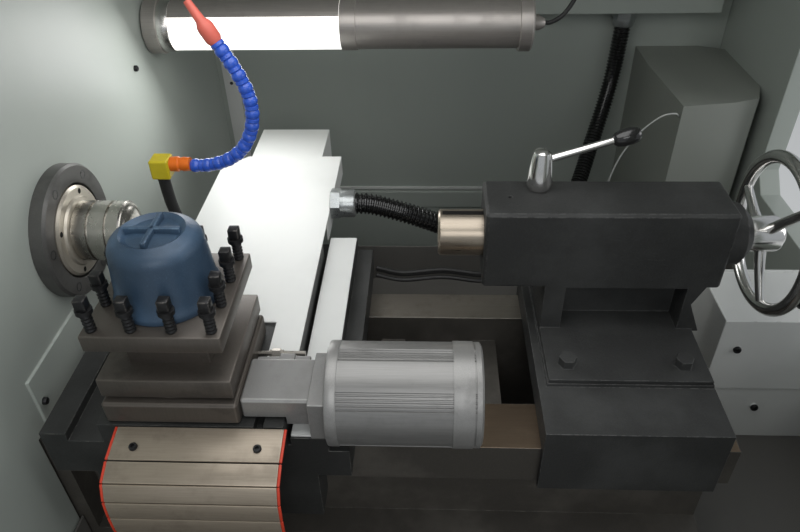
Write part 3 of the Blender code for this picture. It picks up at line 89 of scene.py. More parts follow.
class Value:
    """A material's socket that takes plain arithmetic and adds the Math nodes for it."""

    def __init__(self, finish, socket):
        self.finish = finish
        self.socket = socket

    def maths(self, operation, *values):
        return self.finish.node("ShaderNodeMath", {"operation": operation}, *values)

    def __add__(self, other):
        return self.maths("ADD", self, other)

    __radd__ = __add__

    def __sub__(self, other):
        return self.maths("SUBTRACT", self, other)

    def __mul__(self, other):
        return self.maths("MULTIPLY", self, other)

    __rmul__ = __mul__

    def above(self, edge, soft):
        """0 below edge, 1 above edge + soft."""
        settings = {"interpolation_type": "SMOOTHSTEP"}
        return self.finish.node("ShaderNodeMapRange", settings, self, edge, edge + soft, 0, 1)


class Finish:
    """A Principled material in the making."""

    def __init__(self, name, colour, roughness, metallic=0.0):
        self.material = bpy.data.materials.new(name)
        self.material.use_nodes = True
        self.tree = self.material.node_tree
        self.shader = self.tree.nodes["Principled BSDF"]
        self.give("Base Color", (*colour, 1))
        self.give("Roughness", roughness)
        self.give("Metallic", metallic)

    def feed(self, socket, value):
        if isinstance(value, Value):
            self.tree.links.new(value.socket, socket)
        else:
            socket.default_value = value

    def give(self, name, value):
        self.feed(self.shader.inputs[name], value)

    def node(self, kind, settings, *values, output=0, **named):
        made = self.tree.nodes.new(kind)
        for key, value in settings.items():
            setattr(made, key, value)
        for index, value in enumerate(values):
            self.feed(made.inputs[index], value)
        for key, value in named.items():
            self.feed(made.inputs[key.replace("_", " ")], value)
        return Value(self, made.outputs[output])

    def places(self, stretch=(1, 1, 1)):
        where = self.node("ShaderNodeTexCoord", {}, output=3)
        return self.node("ShaderNodeMapping", {}, Vector=where, Scale=stretch)

    def noise(self, scale, detail=2.0, stretch=(1, 1, 1), rough=0.5):
        return self.node(
            "ShaderNodeTexNoise", {}, Vector=self.places(stretch), Scale=scale, Detail=detail, Roughness=rough
        )

    def face(self, name):
        return self.node("ShaderNodeAttribute", {"attribute_name": name}, output=2)

    def mix(self, mask, first, second):
        made = self.tree.nodes.new("ShaderNodeMix")
        made.data_type = "RGBA"
        self.feed(made.inputs[0], mask)
        for socket, colour in ((made.inputs[6], first), (made.inputs[7], second)):
            self.feed(socket, colour if isinstance(colour, Value) else (*colour, 1))
        return Value(self, made.outputs[2])

    def bump(self, height, distance, strength=1.0):
        self.give(
            "Normal", self.node("ShaderNodeBump", {}, Strength=strength, Distance=distance, Height=height)
        )

    def done(self, colour, roughness, *bump):
        """Feeds what was worked out to the shader and hands out the material."""
        self.give("Base Color", colour)
        self.give("Roughness", roughness)
        if bump:
            self.bump(*bump)
        return self.material


def shade(colour, amount):
    """The colour made darker or lighter."""
    return tuple(min(1, part * amount) for part in colour)


FINISHES = {}


def remembered(make):
    """Makes each finish once and hands out the same material after that."""

    def fetch(name, *values, **named):
        if name not in FINISHES:
            FINISHES[name] = make(name, *values, **named)
        return FINISHES[name]

    return fetch


@remembered
def sheet_paint(name, colour, roughness=0.42, grime=0.12, chips=0.35):
    """Powder coat on sheet steel: orange peel, faint stains and worn folds."""
    finish = Finish(name, colour, roughness)
    broad = finish.noise(2.3, 5, rough=0.6)
    smears = finish.noise(5, 4, (1, 1, 0.22), 0.65)
    stain = (broad * 0.5 + smears * 0.5).above(0.48, 0.22) * grime
    base = finish.mix(stain, shade(colour, 1.03), shade(colour, 0.55))
    worn = finish.face("wear") * finish.noise(90, 4, rough=0.7).above(0.56, 0.08) * chips
    base = finish.mix(worn, base, (0.32, 0.31, 0.29))
    return finish.done(base, roughness + 0.16 * broad - 0.06, finish.noise(520, 2), 0.00012, 0.5)


@remembered
def cast_paint(name, colour, roughness=0.6, grain=1.0, edge=(0.2, 0.19, 0.18)):
    """Painted casting: pitted and speckled, with bare metal showing on worn edges."""
    finish = Finish(name, colour, roughness, 0.15)
    fine = finish.noise(900, 3, rough=0.7)
    pits = finish.noise(260, 3, rough=0.6)
    broad = finish.noise(9, 4, rough=0.6)
    speckle = fine.above(0.57, 0.12)
    base = finish.mix(broad.above(0.4, 0.3), shade(colour, 0.72), shade(colour, 1.25))
    base = finish.mix(speckle * 0.5, base, shade(colour, 1.9))
    worn = finish.face("wear") * finish.noise(120, 4, rough=0.7).above(0.45, 0.12)
    base = finish.mix(worn * 0.8, base, edge)
    return finish.done(base, roughness + 0.2 * pits - 0.1, fine * 0.5 + pits, 0.0006 * grain, 0.7)


@remembered
def machined(name, colour, roughness=0.34, along=(0.02, 1, 1), stains=0.5, metallic=0.85):
    """Ground or milled metal with fine tool lines along one axis and oil stains."""
    finish = Finish(name, colour, roughness, metallic)
    lines = finish.noise(700, 2, along)
    oil = finish.noise(14, 5, rough=0.65).above(0.5, 0.16)
    spots = finish.noise(60, 4, rough=0.7).above(0.6, 0.1)
    base = finish.mix(lines, shade(colour, 0.82), shade(colour, 1.15))
    base = finish.mix((oil * 0.7 + spots * 0.3) * stains, base, shade(colour, 0.38))
    worn = finish.face("wear") * 0.5
    base = finish.mix(worn, base, shade(colour, 1.5))
    return finish.done(base, roughness + 0.14 * lines + 0.12 * oil - 0.08, lines, 0.00004, 0.4)


@remembered
def polished(name, colour=(0.82, 0.82, 0.83), roughness=0.12):
    """Chrome plate with faint wipe marks."""
    finish = Finish(name, colour, roughness, 1)
    marks = finish.noise(40, 4, (1, 1, 0.3), 0.6)
    base = finish.mix(marks.above(0.5, 0.3) * 0.4, colour, shade(colour, 0.7))
    return finish.done(base, roughness + 0.14 * marks - 0.04)


@remembered
def blackened(name, colour=(0.022, 0.022, 0.023), roughness=0.42):
    """Black oxide steel, rubbed a little lighter at its edges."""
    finish = Finish(name, colour, roughness, 0.6)
    rub = finish.noise(150, 3, rough=0.6)
    edge = finish.face("wear") * rub.above(0.4, 0.3)
    base = finish.mix(rub, shade(colour, 0.7), shade(colour, 1.6))
    base = finish.mix(edge * 0.8, base, (0.14, 0.13, 0.12))
    return finish.done(base, roughness + 0.2 * rub - 0.1, finish.noise(600, 2), 0.0001, 0.4)


@remembered
def moulded(name, colour, roughness=0.35, lacquer=0.0, grain=0.3):
    """Moulded plastic with a fine grain and a soft uneven tone."""
    finish = Finish(name, colour, roughness)
    soft = finish.noise(35, 3, rough=0.6)
    finish.give("Coat Weight", lacquer)
    base = finish.mix(soft, shade(colour, 0.82), shade(colour, 1.16))
    return finish.done(base, roughness + 0.18 * soft - 0.08, finish.noise(700, 2), 0.0001, grain)


@remembered
def rubber(name, colour=(0.014, 0.014, 0.014), roughness=0.52):
    """Black rubber or sleeve with pale dust."""
    finish = Finish(name, colour, roughness)
    dust = finish.noise(55, 4, rough=0.7).above(0.5, 0.3)
    base = finish.mix(dust * 0.35, colour, shade(colour, 5))
    return finish.done(base, roughness + 0.25 * dust, finish.noise(800, 2), 0.0001, 0.4)


@remembered
def clear(name, colour=(0.92, 0.97, 0.95), roughness=0.04, alpha=0.25):
    """Thin clear pane with a trace of smear."""
    finish = Finish(name, colour, roughness)
    smear = finish.noise(6, 4, (1, 1, 0.4), 0.6).above(0.45, 0.3)
    finish.give("Roughness", roughness + 0.12 * smear)
    finish.give("Alpha", alpha + 0.08 * smear)
    finish.give("IOR", 1.45)
    return finish.material


@remembered
def glowing(name, colour, strength):
    """A lit surface with a softly uneven glow."""
    finish = Finish(name, colour, 0.4)
    glow = finish.noise(14, 2)
    finish.give("Emission Color", finish.mix(glow, shade(colour, 0.92), colour))
    finish.give("Emission Strength", strength)
    return finish.material


# Mesh making

# How close two corners have to be to become one; the fine one is for shapes with small gaps.
MERGE = 1e-5
FINE = 1e-6


def new_shape():
    """An empty shape whose faces can be marked as worn."""
    shape = bmesh.new()
    shape.faces.layers.float.new("wear")
    return shape


def soften(shape, width, segments=2, angle=32, faces=None):
    """Rounds the sharp edges and marks the rounded faces as worn."""
    layer = shape.faces.layers.float["wear"]
    pool = shape.edges if faces is None else dict.fromkeys(edge for face in faces for edge in face.edges)
    sharp = [
        edge for edge in pool if len(edge.link_faces) == 2 and edge.calc_face_angle(0) > math.radians(angle)
    ]
    if not sharp:
        return
    made = bmesh.ops.bevel(
        shape,
        geom=sharp,
        offset=width,
        offset_type="OFFSET",
        segments=segments,
        profile=0.5,
        affect="EDGES",
        clamp_overlap=True,
        material=-1,
    )
    for face in made["faces"]:
        face[layer] = 1


def piece_of(name, shape, finish, smooth=34, merge=MERGE):
    """Makes the object of a finished shape."""
    bmesh.ops.remove_doubles(shape, verts=shape.verts[:], dist=merge)
    bmesh.ops.recalc_face_normals(shape, faces=shape.faces[:])
    mesh = bpy.data.meshes.new(name)
    shape.to_mesh(mesh)
    shape.free()
    mesh.materials.append(finish)
    mesh.shade_smooth()
    mesh.set_sharp_from_angle(angle=math.radians(smooth))
    piece = bpy.data.objects.new(name, mesh)
    bpy.context.scene.collection.objects.link(piece)
    return piece


def carry(piece, body, slot, *nodes):
    """The piece rides on the body and stands for the nodes; the slot is not used."""
    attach(piece, body)
    if nodes:
        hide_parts(*nodes)
    return piece


def put(name, shape, finish, body, slot, *nodes, **shading):
    """Makes the object of a finished shape and lets it ride."""
    return carry(piece_of(name, shape, finish, **shading), body, slot, *nodes)


def slot_of(node):
    for entry in frame["record"]["subparts"]:
        if entry["node"] == node:
            return entry["material_slot"]
    raise KeyError(node)


def body_of(node):
    for body, nodes in frame["record"]["behaviour"]["bodies"].items():
        if node in nodes:
            return body
    raise KeyError(node)


def solid_of(node):
    """A merged copy of the node's mesh, with its flat faces joined."""
    shape = bmesh.new()
    shape.from_mesh(frame["nodes"][node].data)
    shape.faces.layers.float.new("wear")
    bmesh.ops.remove_doubles(shape, verts=shape.verts[:], dist=MERGE)
    bmesh.ops.dissolve_limit(shape, angle_limit=math.radians(0.6), verts=shape.verts[:], edges=shape.edges[:])
    return shape


def dress(node, width, finish, segments=2):
    """Stands a copy of the node with rounded edges in its place."""
    shape = solid_of(node)
    soften(shape, width, segments)
    piece = piece_of(node + "_finished", shape, finish)
    normals = piece.modifiers.new("normals", "WEIGHTED_NORMAL")
    normals.keep_sharp = True
    return carry(piece, body_of(node), slot_of(node), node)


def coat(node, finish):
    """Gives a kept node its finish."""
    for slot in frame["nodes"][node].material_slots:
        slot.material = finish


def block(shape, low, high):
    """Adds a box and returns its faces."""
    middle = (low + high) / 2
    size = high - low
    before = set(shape.faces)
    bmesh.ops.create_cube(shape, size=1, matrix=Matrix.Translation(middle) @ Matrix.Diagonal((*size, 1)))
    return [face for face in shape.faces if face not in before]


def spun(shape, centre, axis, profile, sides=64):
    """Adds a profile of (along, radius) points spun about an axis through centre."""
    axis = axis.normalized()
    side = axis.orthogonal().normalized()
    verts = [shape.verts.new(centre + axis * along + side * radius) for along, radius in profile]
    edges = [shape.edges.new(pair) for pair in zip(verts, verts[1:])]
    bmesh.ops.spin(
        shape, geom=verts + edges, cent=centre, axis=axis, angle=2 * math.pi, steps=sides, use_merge=True
    )


def arc(centre, radius, start, end, steps):
    """Points on an arc of (along, radius) values, angles in degrees."""
    points = []
    for step in range(steps + 1):
        angle = math.radians(start + (end - start) * step / steps)
        points.append((centre[0] + radius * math.cos(angle), centre[1] + radius * math.sin(angle)))
    return points


def around(u, axis, circle, first, count):
    """Places on a circle about an axis along u, the first at an angle in degrees."""
    angles = [math.radians(first + 360 / count * index) for index in range(count)]
    return [at(u, axis[0] + circle * math.cos(angle), axis[1] + circle * math.sin(angle)) for angle in angles]


def prism(shape, outline, reach):
    """Adds a flat outline of places pushed along reach and returns its faces."""
    before = set(shape.faces)
    face = shape.faces.new([shape.verts.new(place) for place in outline])
    made = bmesh.ops.extrude_face_region(shape, geom=[face])
    moved = [part for part in made["geom"] if isinstance(part, bmesh.types.BMVert)]
    bmesh.ops.translate(shape, vec=reach, verts=moved)
    return [face for face in shape.faces if face not in before]


def follow(shape, places, radii, sides=16):
    """Adds a tube along the places by extruding a circle from each to the next."""
    side = (places[1] - places[0]).orthogonal().normalized()
    last = None
    for index, place in enumerate(places):
        along = (places[min(index + 1, len(places) - 1)] - places[max(index - 1, 0)]).normalized()
        side = (side - along * side.dot(along)).normalized()
        turn = Matrix((side, along.cross(side), along)).transposed().to_4x4()
        here = Matrix.Translation(place) @ turn @ Matrix.Diagonal((radii[index], radii[index], 1, 1))
        if last is None:
            circle = bmesh.ops.create_circle(shape, cap_ends=False, radius=1, segments=sides, matrix=here)
            ring = circle["verts"]
            edges = list(dict.fromkeys(edge for vert in ring for edge in vert.link_edges))
            first = edges
        else:
            made = bmesh.ops.extrude_edge_only(shape, edges=edges)["geom"]
            ring = [part for part in made if isinstance(part, bmesh.types.BMVert)]
            edges = [part for part in made if isinstance(part, bmesh.types.BMEdge)]
            bmesh.ops.transform(shape, matrix=here @ last.inverted(), verts=ring)
        last = here
    bmesh.ops.contextual_create(shape, geom=first)
    bmesh.ops.contextual_create(shape, geom=edges)


def curve_through(points, steps):
    """Places on a smooth curve through the points."""
    knots = [points[0] * 2 - points[1], *points, points[-1] * 2 - points[-2]]
    route = []
    for index in range(1, len(knots) - 2):
        a, b, c, d = knots[index - 1 : index + 3]
        for step in range(steps):
            t = step / steps
            cubic = b * 2 + (c - a) * t + (a * 2 - b * 5 + c * 4 - d) * t**2 + (b * 3 - a - c * 3 + d) * t**3
            route.append(cubic / 2)
    route.append(points[-1].copy())
    return route


def even(route, pitch):
    """The route's places again, the same short length apart."""
    places = [route[0].copy()]
    left = pitch
    for first, second in zip(route, route[1:]):
        span = (second - first).length
        done = 0.0
        while span - done > left:
            done += left
            places.append(first.lerp(second, done / span))
            left = pitch
        left -= span - done
    return places


def lead(name, points, radius, finish):
    """A round cable on a smooth route, not yet on a body."""
    shape = new_shape()
    route = curve_through([at(*point) for point in points], 8)
    follow(shape, route, [radius] * len(route), 12)
    return piece_of(name, shape, finish, smooth=60)


def cable(name, points, radius, finish, body, slot="black_rubber"):
    """A round cable that rides on the body."""
    return carry(lead(name, points, radius, finish), body, slot)


def socket_screw(shape, place, out, radius, height):
    """A cap screw's round head with its socket."""
    profile = [
        (0, radius), (height * 0.8, radius), (height, radius * 0.88), (height, radius * 0.5),
        (height * 0.35, radius * 0.45), (height * 0.35, 0),
    ]
    spun(shape, place, out, profile, 20)


def pan_screw(shape, place, out, radius):
    """A low domed head with two thin bars for its cross slot."""
    dome = [(0, radius), (radius * 0.25, radius * 0.97), (radius * 0.5, radius * 0.6), (radius * 0.55, 0)]
    spun(shape, place, out, dome, 16)
    side = out.orthogonal().normalized()
    for across in (side, out.cross(side)):
        low = place + out * (radius * 0.3) - across * (radius * 0.62)
        beam = out.cross(across).normalized() * (radius * 0.11)
        high = low + across * (radius * 1.24)
        prism(shape, [low - beam, low + beam, high + beam, high - beam], out * (radius * 0.28))


def screws(name, places, out, radius, finish, body, slot="black_oxide"):
    """One piece of cross slot screws at the places."""
    shape = new_shape()
    for place in places:
        pan_screw(shape, place, out, radius)
    return put(name, shape, finish, body, slot)


# Settings


def colour_setting(name, text, default):
    return bpy.props.FloatVectorProperty(
        name=name, description=text, subtype="COLOR", size=3, min=0, max=1, default=default
    )


def length_setting(name, text, default):
    return bpy.props.FloatProperty(name=name, description=text, unit="LENGTH", min=0, default=default)


class LatheColours(bpy.types.PropertyGroup):
    inner: colour_setting("Inner walls", "Paint of the walls of the work chamber", (0.4, 0.435, 0.4))
    covers: colour_setting("Covers", "Paint of the white covers", (0.72, 0.73, 0.71))
    outside: colour_setting("Outside", "Paint of the outer panels", (0.66, 0.67, 0.65))
    casting: colour_setting("Castings", "Paint of the castings", (0.036, 0.037, 0.036))
    bed: colour_setting("Bed", "Paint of the bed and the headstock", (0.085, 0.078, 0.068))
    cap: colour_setting("Tool post cap", "Paint of the cap on the tool post", (0.048, 0.088, 0.145))
    motor: colour_setting("Motor", "Aluminium of the tool post motor", (0.25, 0.247, 0.24))
    hose: colour_setting("Coolant hose", "Plastic of the segment hose", (0.028, 0.1, 0.56))


class LatheSizes(bpy.types.PropertyGroup):
    edge: length_setting("Edge", "Rounding of the machined edges", 0.0012)
    fold: length_setting("Fold", "Rounding of folded sheet", 0.002)
    rib: length_setting("Rib pitch", "Distance between the ribs of the cable conduit", 0.0078)


class LatheStage(bpy.types.PropertyGroup):
    inside: bpy.props.FloatProperty(
        name="Inside light", description="Power under the roof", unit="POWER", default=3.4
    )
    front: bpy.props.FloatProperty(
        name="Front light", description="Power before the door", unit="POWER", default=14
    )
    around: bpy.props.FloatProperty(name="Sky", description="Strength of the light all round", default=0.4)


# Pieces


class LATHE_OT_stage(bpy.types.Operator):
    """Adds the floor, the lights and the camera"""

    bl_idname = "lathe.stage"
    bl_label = "Stage"

    def execute(self, context):
        setting = context.scene.lathe_stage
        shape = new_shape()
        half_floor = 7
        bmesh.ops.create_grid(shape, x_segments=1, y_segments=1, size=half_floor)
        floor = piece_of("floor", shape, self.floor_finish())
        self.light("front_light", (1.0, -3.4, 3.3), (0.1, 0, 0.9), 2.4, setting.front * 3)
        self.light("side_light", (-3.6, -1.5, 2.6), (0, 0, 0.8), 2.0, setting.front * 2)
        self.light("rear_light", (1.2, 3.6, 3.0), (0, 0, 0.8), 2.4, setting.front * 2)
        self.light("right_light", (3.6, -0.4, 2.2), (0.4, 0, 0.9), 1.6, setting.front * 1.6)
        self.light(
            "chamber_light", tuple(at(0.5, -0.1, 0.58)), tuple(at(0.5, 0.05, -0.3)), 0.7, setting.inside
        )
        self.light(
            "lamp_light", tuple(at(0.2, 0.4, 0.13)), tuple(at(0.15, 0.0, -0.1)), 0.25, setting.inside * 0.25
        )
        self.world(context.scene, setting.around)
        self.camera(context.scene)
        return {"FINISHED"}

    def floor_finish(self):
        finish = Finish("pale_floor", (0.78, 0.78, 0.77), 0.7)
        finish.give("Base Color", finish.mix(finish.noise(0.9, 4), (0.76, 0.76, 0.75), (0.8, 0.8, 0.79)))
        return finish.material

    def light(self, name, place, target, size, power):
        lamp = bpy.data.lights.new(name, "AREA")
        lamp.energy = power
        lamp.size = size
        made = bpy.data.objects.new(name, lamp)
        made.location = place
        made.rotation_euler = (Vector(target) - Vector(place)).to_track_quat("-Z", "Y").to_euler()
        bpy.context.scene.collection.objects.link(made)

    def world(self, scene, strength):
        sky = bpy.data.worlds.new("plain_sky")
        sky.use_nodes = True
        tree = sky.node_tree
        lit = tree.nodes["Background"]
        lit.inputs["Color"].default_value = (0.9, 0.95, 1, 1)
        lit.inputs["Strength"].default_value = strength
        seen = tree.nodes.new("ShaderNodeBackground")
        seen.inputs["Color"].default_value = (0.86, 0.87, 0.88, 1)
        path = tree.nodes.new("ShaderNodeLightPath")
        choose = tree.nodes.new("ShaderNodeMixShader")
        tree.links.new(path.outputs["Is Camera Ray"], choose.inputs[0])
        tree.links.new(lit.outputs[0], choose.inputs[1])
        tree.links.new(seen.outputs[0], choose.inputs[2])
        tree.links.new(choose.outputs[0], tree.nodes["World Output"].inputs["Surface"])
        scene.world = sky
        scene.view_settings.view_transform = "Standard"

    def camera(self, scene):
        """The photo's camera, as it was solved."""
        lens = bpy.data.cameras.new("photo_camera")
        lens.sensor_fit = "HORIZONTAL"
        lens.sensor_width = 36
        lens.lens = 30.89
        lens.clip_start = 0.02
        right = Vector((0.99914, 0.03677, -0.01936))
        down = Vector((0.00689, -0.60594, -0.79548))
        ahead = Vector((-0.04098, 0.79466, -0.60567))
        turn = Matrix((right, -down, -ahead)).transposed().to_4x4()
        made = bpy.data.objects.new("photo_camera", lens)
        eye = at(0.544, -0.835, 0.573)
        made.matrix_world = Matrix.Translation(eye) @ turn
        scene.collection.objects.link(made)
        scene.camera = made


class LATHE_OT_enclosure(bpy.types.Operator):
    """Finishes the walls, the roof, the base and the panels, with their screws"""

    bl_idname = "lathe.enclosure"
    bl_label = "Enclosure"

    def execute(self, context):
        colours = context.scene.lathe_colours
        sizes = context.scene.lathe_sizes
        inner = sheet_paint("inner_wall_paint", tuple(colours.inner), 0.4, 0.1)
        outside = sheet_paint("outer_panel_paint", tuple(colours.outside), 0.38, 0.08)
        cover = sheet_paint("cover_paint", tuple(colours.covers), 0.36, 0.14)
        box = sheet_paint("box_paint", (0.27, 0.285, 0.255), 0.42, 0.12)
        for finish, nodes in (
            (inner, "partition_panel back_panel right_panel cable_beam"),
            (outside, "left_panel roof_panel front_left_panel front_lower_panel front_right_panel"),
            (outside, "front_header electrical_cabinet"),
            (cover, "bed_end_cover"),
            (box, "junction_box"),
        ):
            for node in nodes.split():
                dress(node, sizes.fold, finish)
        black = blackened("screw_black")
        screws("wall_screws", [at(0, 0.62, 0.24), at(0, 0.62, -0.24)], ALONG, 0.0046, black, "frame")
        self.heads(black)
        self.corner(cover, black)
        dress("machine_base", sizes.fold, cast_paint("base_paint", (0.045, 0.047, 0.05), 0.55, 0.4))
        dress("chip_tray", sizes.fold / 2, sheet_paint("tray_paint", (0.13, 0.125, 0.115), 0.5, 0.6))
        return {"FINISHED"}

    def heads(self, black):
        """Black heads on the screws of the walls and boxes."""
        shape = new_shape()
        for place, out, radius, height in (
            (at(0, 0.375, 0.105), ALONG, 0.0056, 0.0044),
            (at(0.004, -0.2, -0.154), ALONG, 0.0056, 0.0044),
            (at(1.064, 0.019, -0.249), -BACK, 0.0066, 0.0034),
            (at(1.133, 0.019, -0.392), -BACK, 0.0066, 0.0034),
            (at(1.1, 0.502, -0.3), -BACK, 0.0066, 0.0034),
        ):
            socket, top, floor = radius * 0.5, height + 0.0016, height + 0.0004
            rim = [(0, radius), (height, radius), (top, radius * 0.84)]
            spun(shape, place, out, [*rim, (top, socket), (floor, socket * 0.9), (floor, 0)], 24)
        put("wall_heads", shape, black, "frame", "black_oxide", merge=FINE)

    def corner(self, cover, black):
        """The strip over the seam between the left and the rear wall, its screws and the rear ledges."""
        rounding = 0.0008
        front, rear, half_height = 0.8515, 0.8545, 0.45
        shape = new_shape()
        faces = block(shape, at(0.012, front, -half_height), at(0.05, rear, half_height))
        soften(shape, rounding, faces=faces)
        put("corner_strip", shape, cover, "frame", "white_paint")
        shape = new_shape()
        ledge_front = 0.8495
        for low, high in ((-0.472, -0.464), (-0.437, -0.429)):
            faces = block(shape, at(0.052, ledge_front, low), at(0.72, rear, high))
            soften(shape, rounding, faces=faces)
        put("rear_ledges", shape, cover, "frame", "white_paint", merge=FINE)
        places = [at(0.031, front, level) for level in (-0.35, -0.12, 0.12, 0.35)]
        screws("strip_screws", places, -BACK, 0.0042, black, "frame")


class LATHE_OT_bed(bpy.types.Operator):
    """Finishes the bed, the headstock, the saddle and the screws"""

    bl_idname = "lathe.bed"
    bl_label = "Bed and saddle"

    def execute(self, context):
        colours = context.scene.lathe_colours
        sizes = context.scene.lathe_sizes
        iron = cast_paint("saddle_iron", tuple(colours.casting), 0.5, 0.5, (0.1, 0.098, 0.09))
        steel = machined("way_steel", (0.34, 0.31, 0.27), 0.32)
        paint = cast_paint("bed_paint", tuple(colours.bed), 0.5, 0.35, (0.16, 0.15, 0.13))
        dress("bed", sizes.edge, paint)
        dress("headstock", 0.003, paint)
        dress("saddle", sizes.edge, iron)
        dress("cross_slide", sizes.edge, iron)
        dress("z_motor", 0.002, cast_paint("motor_paint", (0.03, 0.03, 0.032), 0.5, 0.3))
        for node in ("z_screw", "cross_screw"):
            coat(node, steel)
        self.ways(machined("front_way_steel", (0.2, 0.15, 0.105), 0.34), steel)
        return {"FINISHED"}

    def ways(self, front, rear):
        """The ground tops of the two ways, as thin wear strips."""
        left, right = 0.004, 0.9695
        low, high = -0.2006, -0.19985
        for name, near, far, steel in (
            ("front_way", -0.2315, -0.1525, front),
            ("rear_way", 0.0355, 0.0975, rear),
        ):
            shape = new_shape()
            faces = block(shape, at(left, near, low), at(right, far, high))
            soften(shape, 0.0003, 1, faces=faces)
            put(name, shape, steel, "frame", "ground_steel")


class LATHE_OT_drive(bpy.types.Operator):
    """Finishes the spindle motor, the pulleys and the belt"""

    bl_idname = "lathe.drive"
    bl_label = "Spindle drive"

    def execute(self, context):
        motor = cast_paint("motor_paint", (0.03, 0.03, 0.032), 0.5, 0.3)
        dress("spindle_motor", 0.0015, motor)
        dress("motor_mount", 0.002, motor)
        steel = machined("pulley_steel", (0.42, 0.41, 0.4), 0.3, (1, 1, 1), 0.3)
        dress("spindle_pulley", 0.0006, steel)
        dress("motor_pulley", 0.0006, steel)
        dress("drive_belt", 0.0008, rubber("belt_rubber"))
        return {"FINISHED"}


class LATHE_OT_spindle(bpy.types.Operator):
    """Makes the bearing cover, the spindle nose and the arbor"""

    bl_idname = "lathe.spindle"
    bl_label = "Spindle"

    def execute(self, context):
        self.cover()
        self.nose()
        self.arbor()
        return {"FINISHED"}

    def cover(self):
        iron = machined("cover_iron", (0.12, 0.118, 0.113), 0.4, (1, 1, 1), 0.4, 0.5)
        shape = new_shape()
        rim = [
            (0.0003, 0.0705), (0.0003, 0.1), (0.0185, 0.1), (0.0222, 0.0965), (0.0222, 0.0735),
            (0.0212, 0.0715), (0.0003, 0.0705),
        ]
        spun(shape, at(0, 0, 0), ALONG, rim, 96)
        put("bearing_cover_finished", shape, iron, "frame", "black_oxide", "spindle_bearing_cover")
        # Thin dark rings on the cover's face at the screw holes: painted shade of each hole's gap around its
        # screw.
        holes = new_shape()
        heads = new_shape()
        for place in around(0.0223, (0, 0), circle=0.085, first=50, count=6):
            ring = [(0, 0.0072), (0.0002, 0.0072), (0.0002, 0.0052), (0, 0.0052), (0, 0.0072)]
            spun(holes, place, ALONG, ring, 24)
            socket_screw(heads, place - ALONG * 0.004, ALONG, 0.0052, 0.0036)
        put("cover_hole_rims", holes, blackened("rim_black", (0.06, 0.06, 0.06), 0.3), "frame", "black_oxide")
        put("cover_screws", heads, blackened("screw_black"), "frame", "black_oxide")

    def nose(self):
        steel = machined("nose_steel", (0.5, 0.46, 0.39), 0.32, (1, 1, 1), 0.4, 0.6)
        shape = new_shape()
        profile = [
            (-0.64, 0.026), (-0.64, 0.045), (-0.524, 0.045), (-0.524, 0.052), (-0.018, 0.052),
            (-0.018, 0.068), (0.0205, 0.068), (0.024, 0.0645), (0.024, 0.0525), (0.0275, 0.0505),
            (0.028, 0.048), (0.028, 0.026), (-0.64, 0.026),
        ]
        spun(shape, at(0, 0, 0), ALONG, profile, 80)
        put("spindle_finished", shape, steel, "spindle", "ground_steel", "spindle")
        # Black discs on the nose face stand for its four holes: painted shade in place of the holes' dark
        # insides.
        holes = new_shape()
        for place in around(0.024, (0, 0), circle=0.059, first=62, count=4):
            spun(holes, place, ALONG, [(0.0001, 0.0042), (0.0002, 0)], 16)
        put("nose_holes", holes, blackened("hole_black", (0.01, 0.01, 0.01), 0.8), "spindle", "ground_steel")

    def arbor(self):
        bright = polished("arbor_steel", (0.52, 0.5, 0.46), 0.24)
        shape = new_shape()
        start, end, radius, depth = 0.0283, 0.109, 0.045, 0.003
        profile = [(start, 0), (start, radius - 0.001), (start + 0.001, radius)]
        for share in (0.27, 0.6):
            edge = start + (end - start) * share
            profile += [(edge, radius), (edge + 0.0005, radius - depth)]
            profile += [(edge + 0.0035, radius - depth), (edge + 0.004, radius)]
        profile += [(end - 0.012, radius), (end - 0.0105, radius - 0.0025), (end - 0.009, radius - depth)]
        profile += arc((end - 0.03, 0.02), 0.0285, 40, 0, 6) + [(end - 0.0012, 0.012), (end - 0.0012, 0)]
        spun(shape, at(0, 0, 0), ALONG, profile, 80)
        put("arbor_finished", shape, bright, "spindle", "chrome", "spindle_arbor")


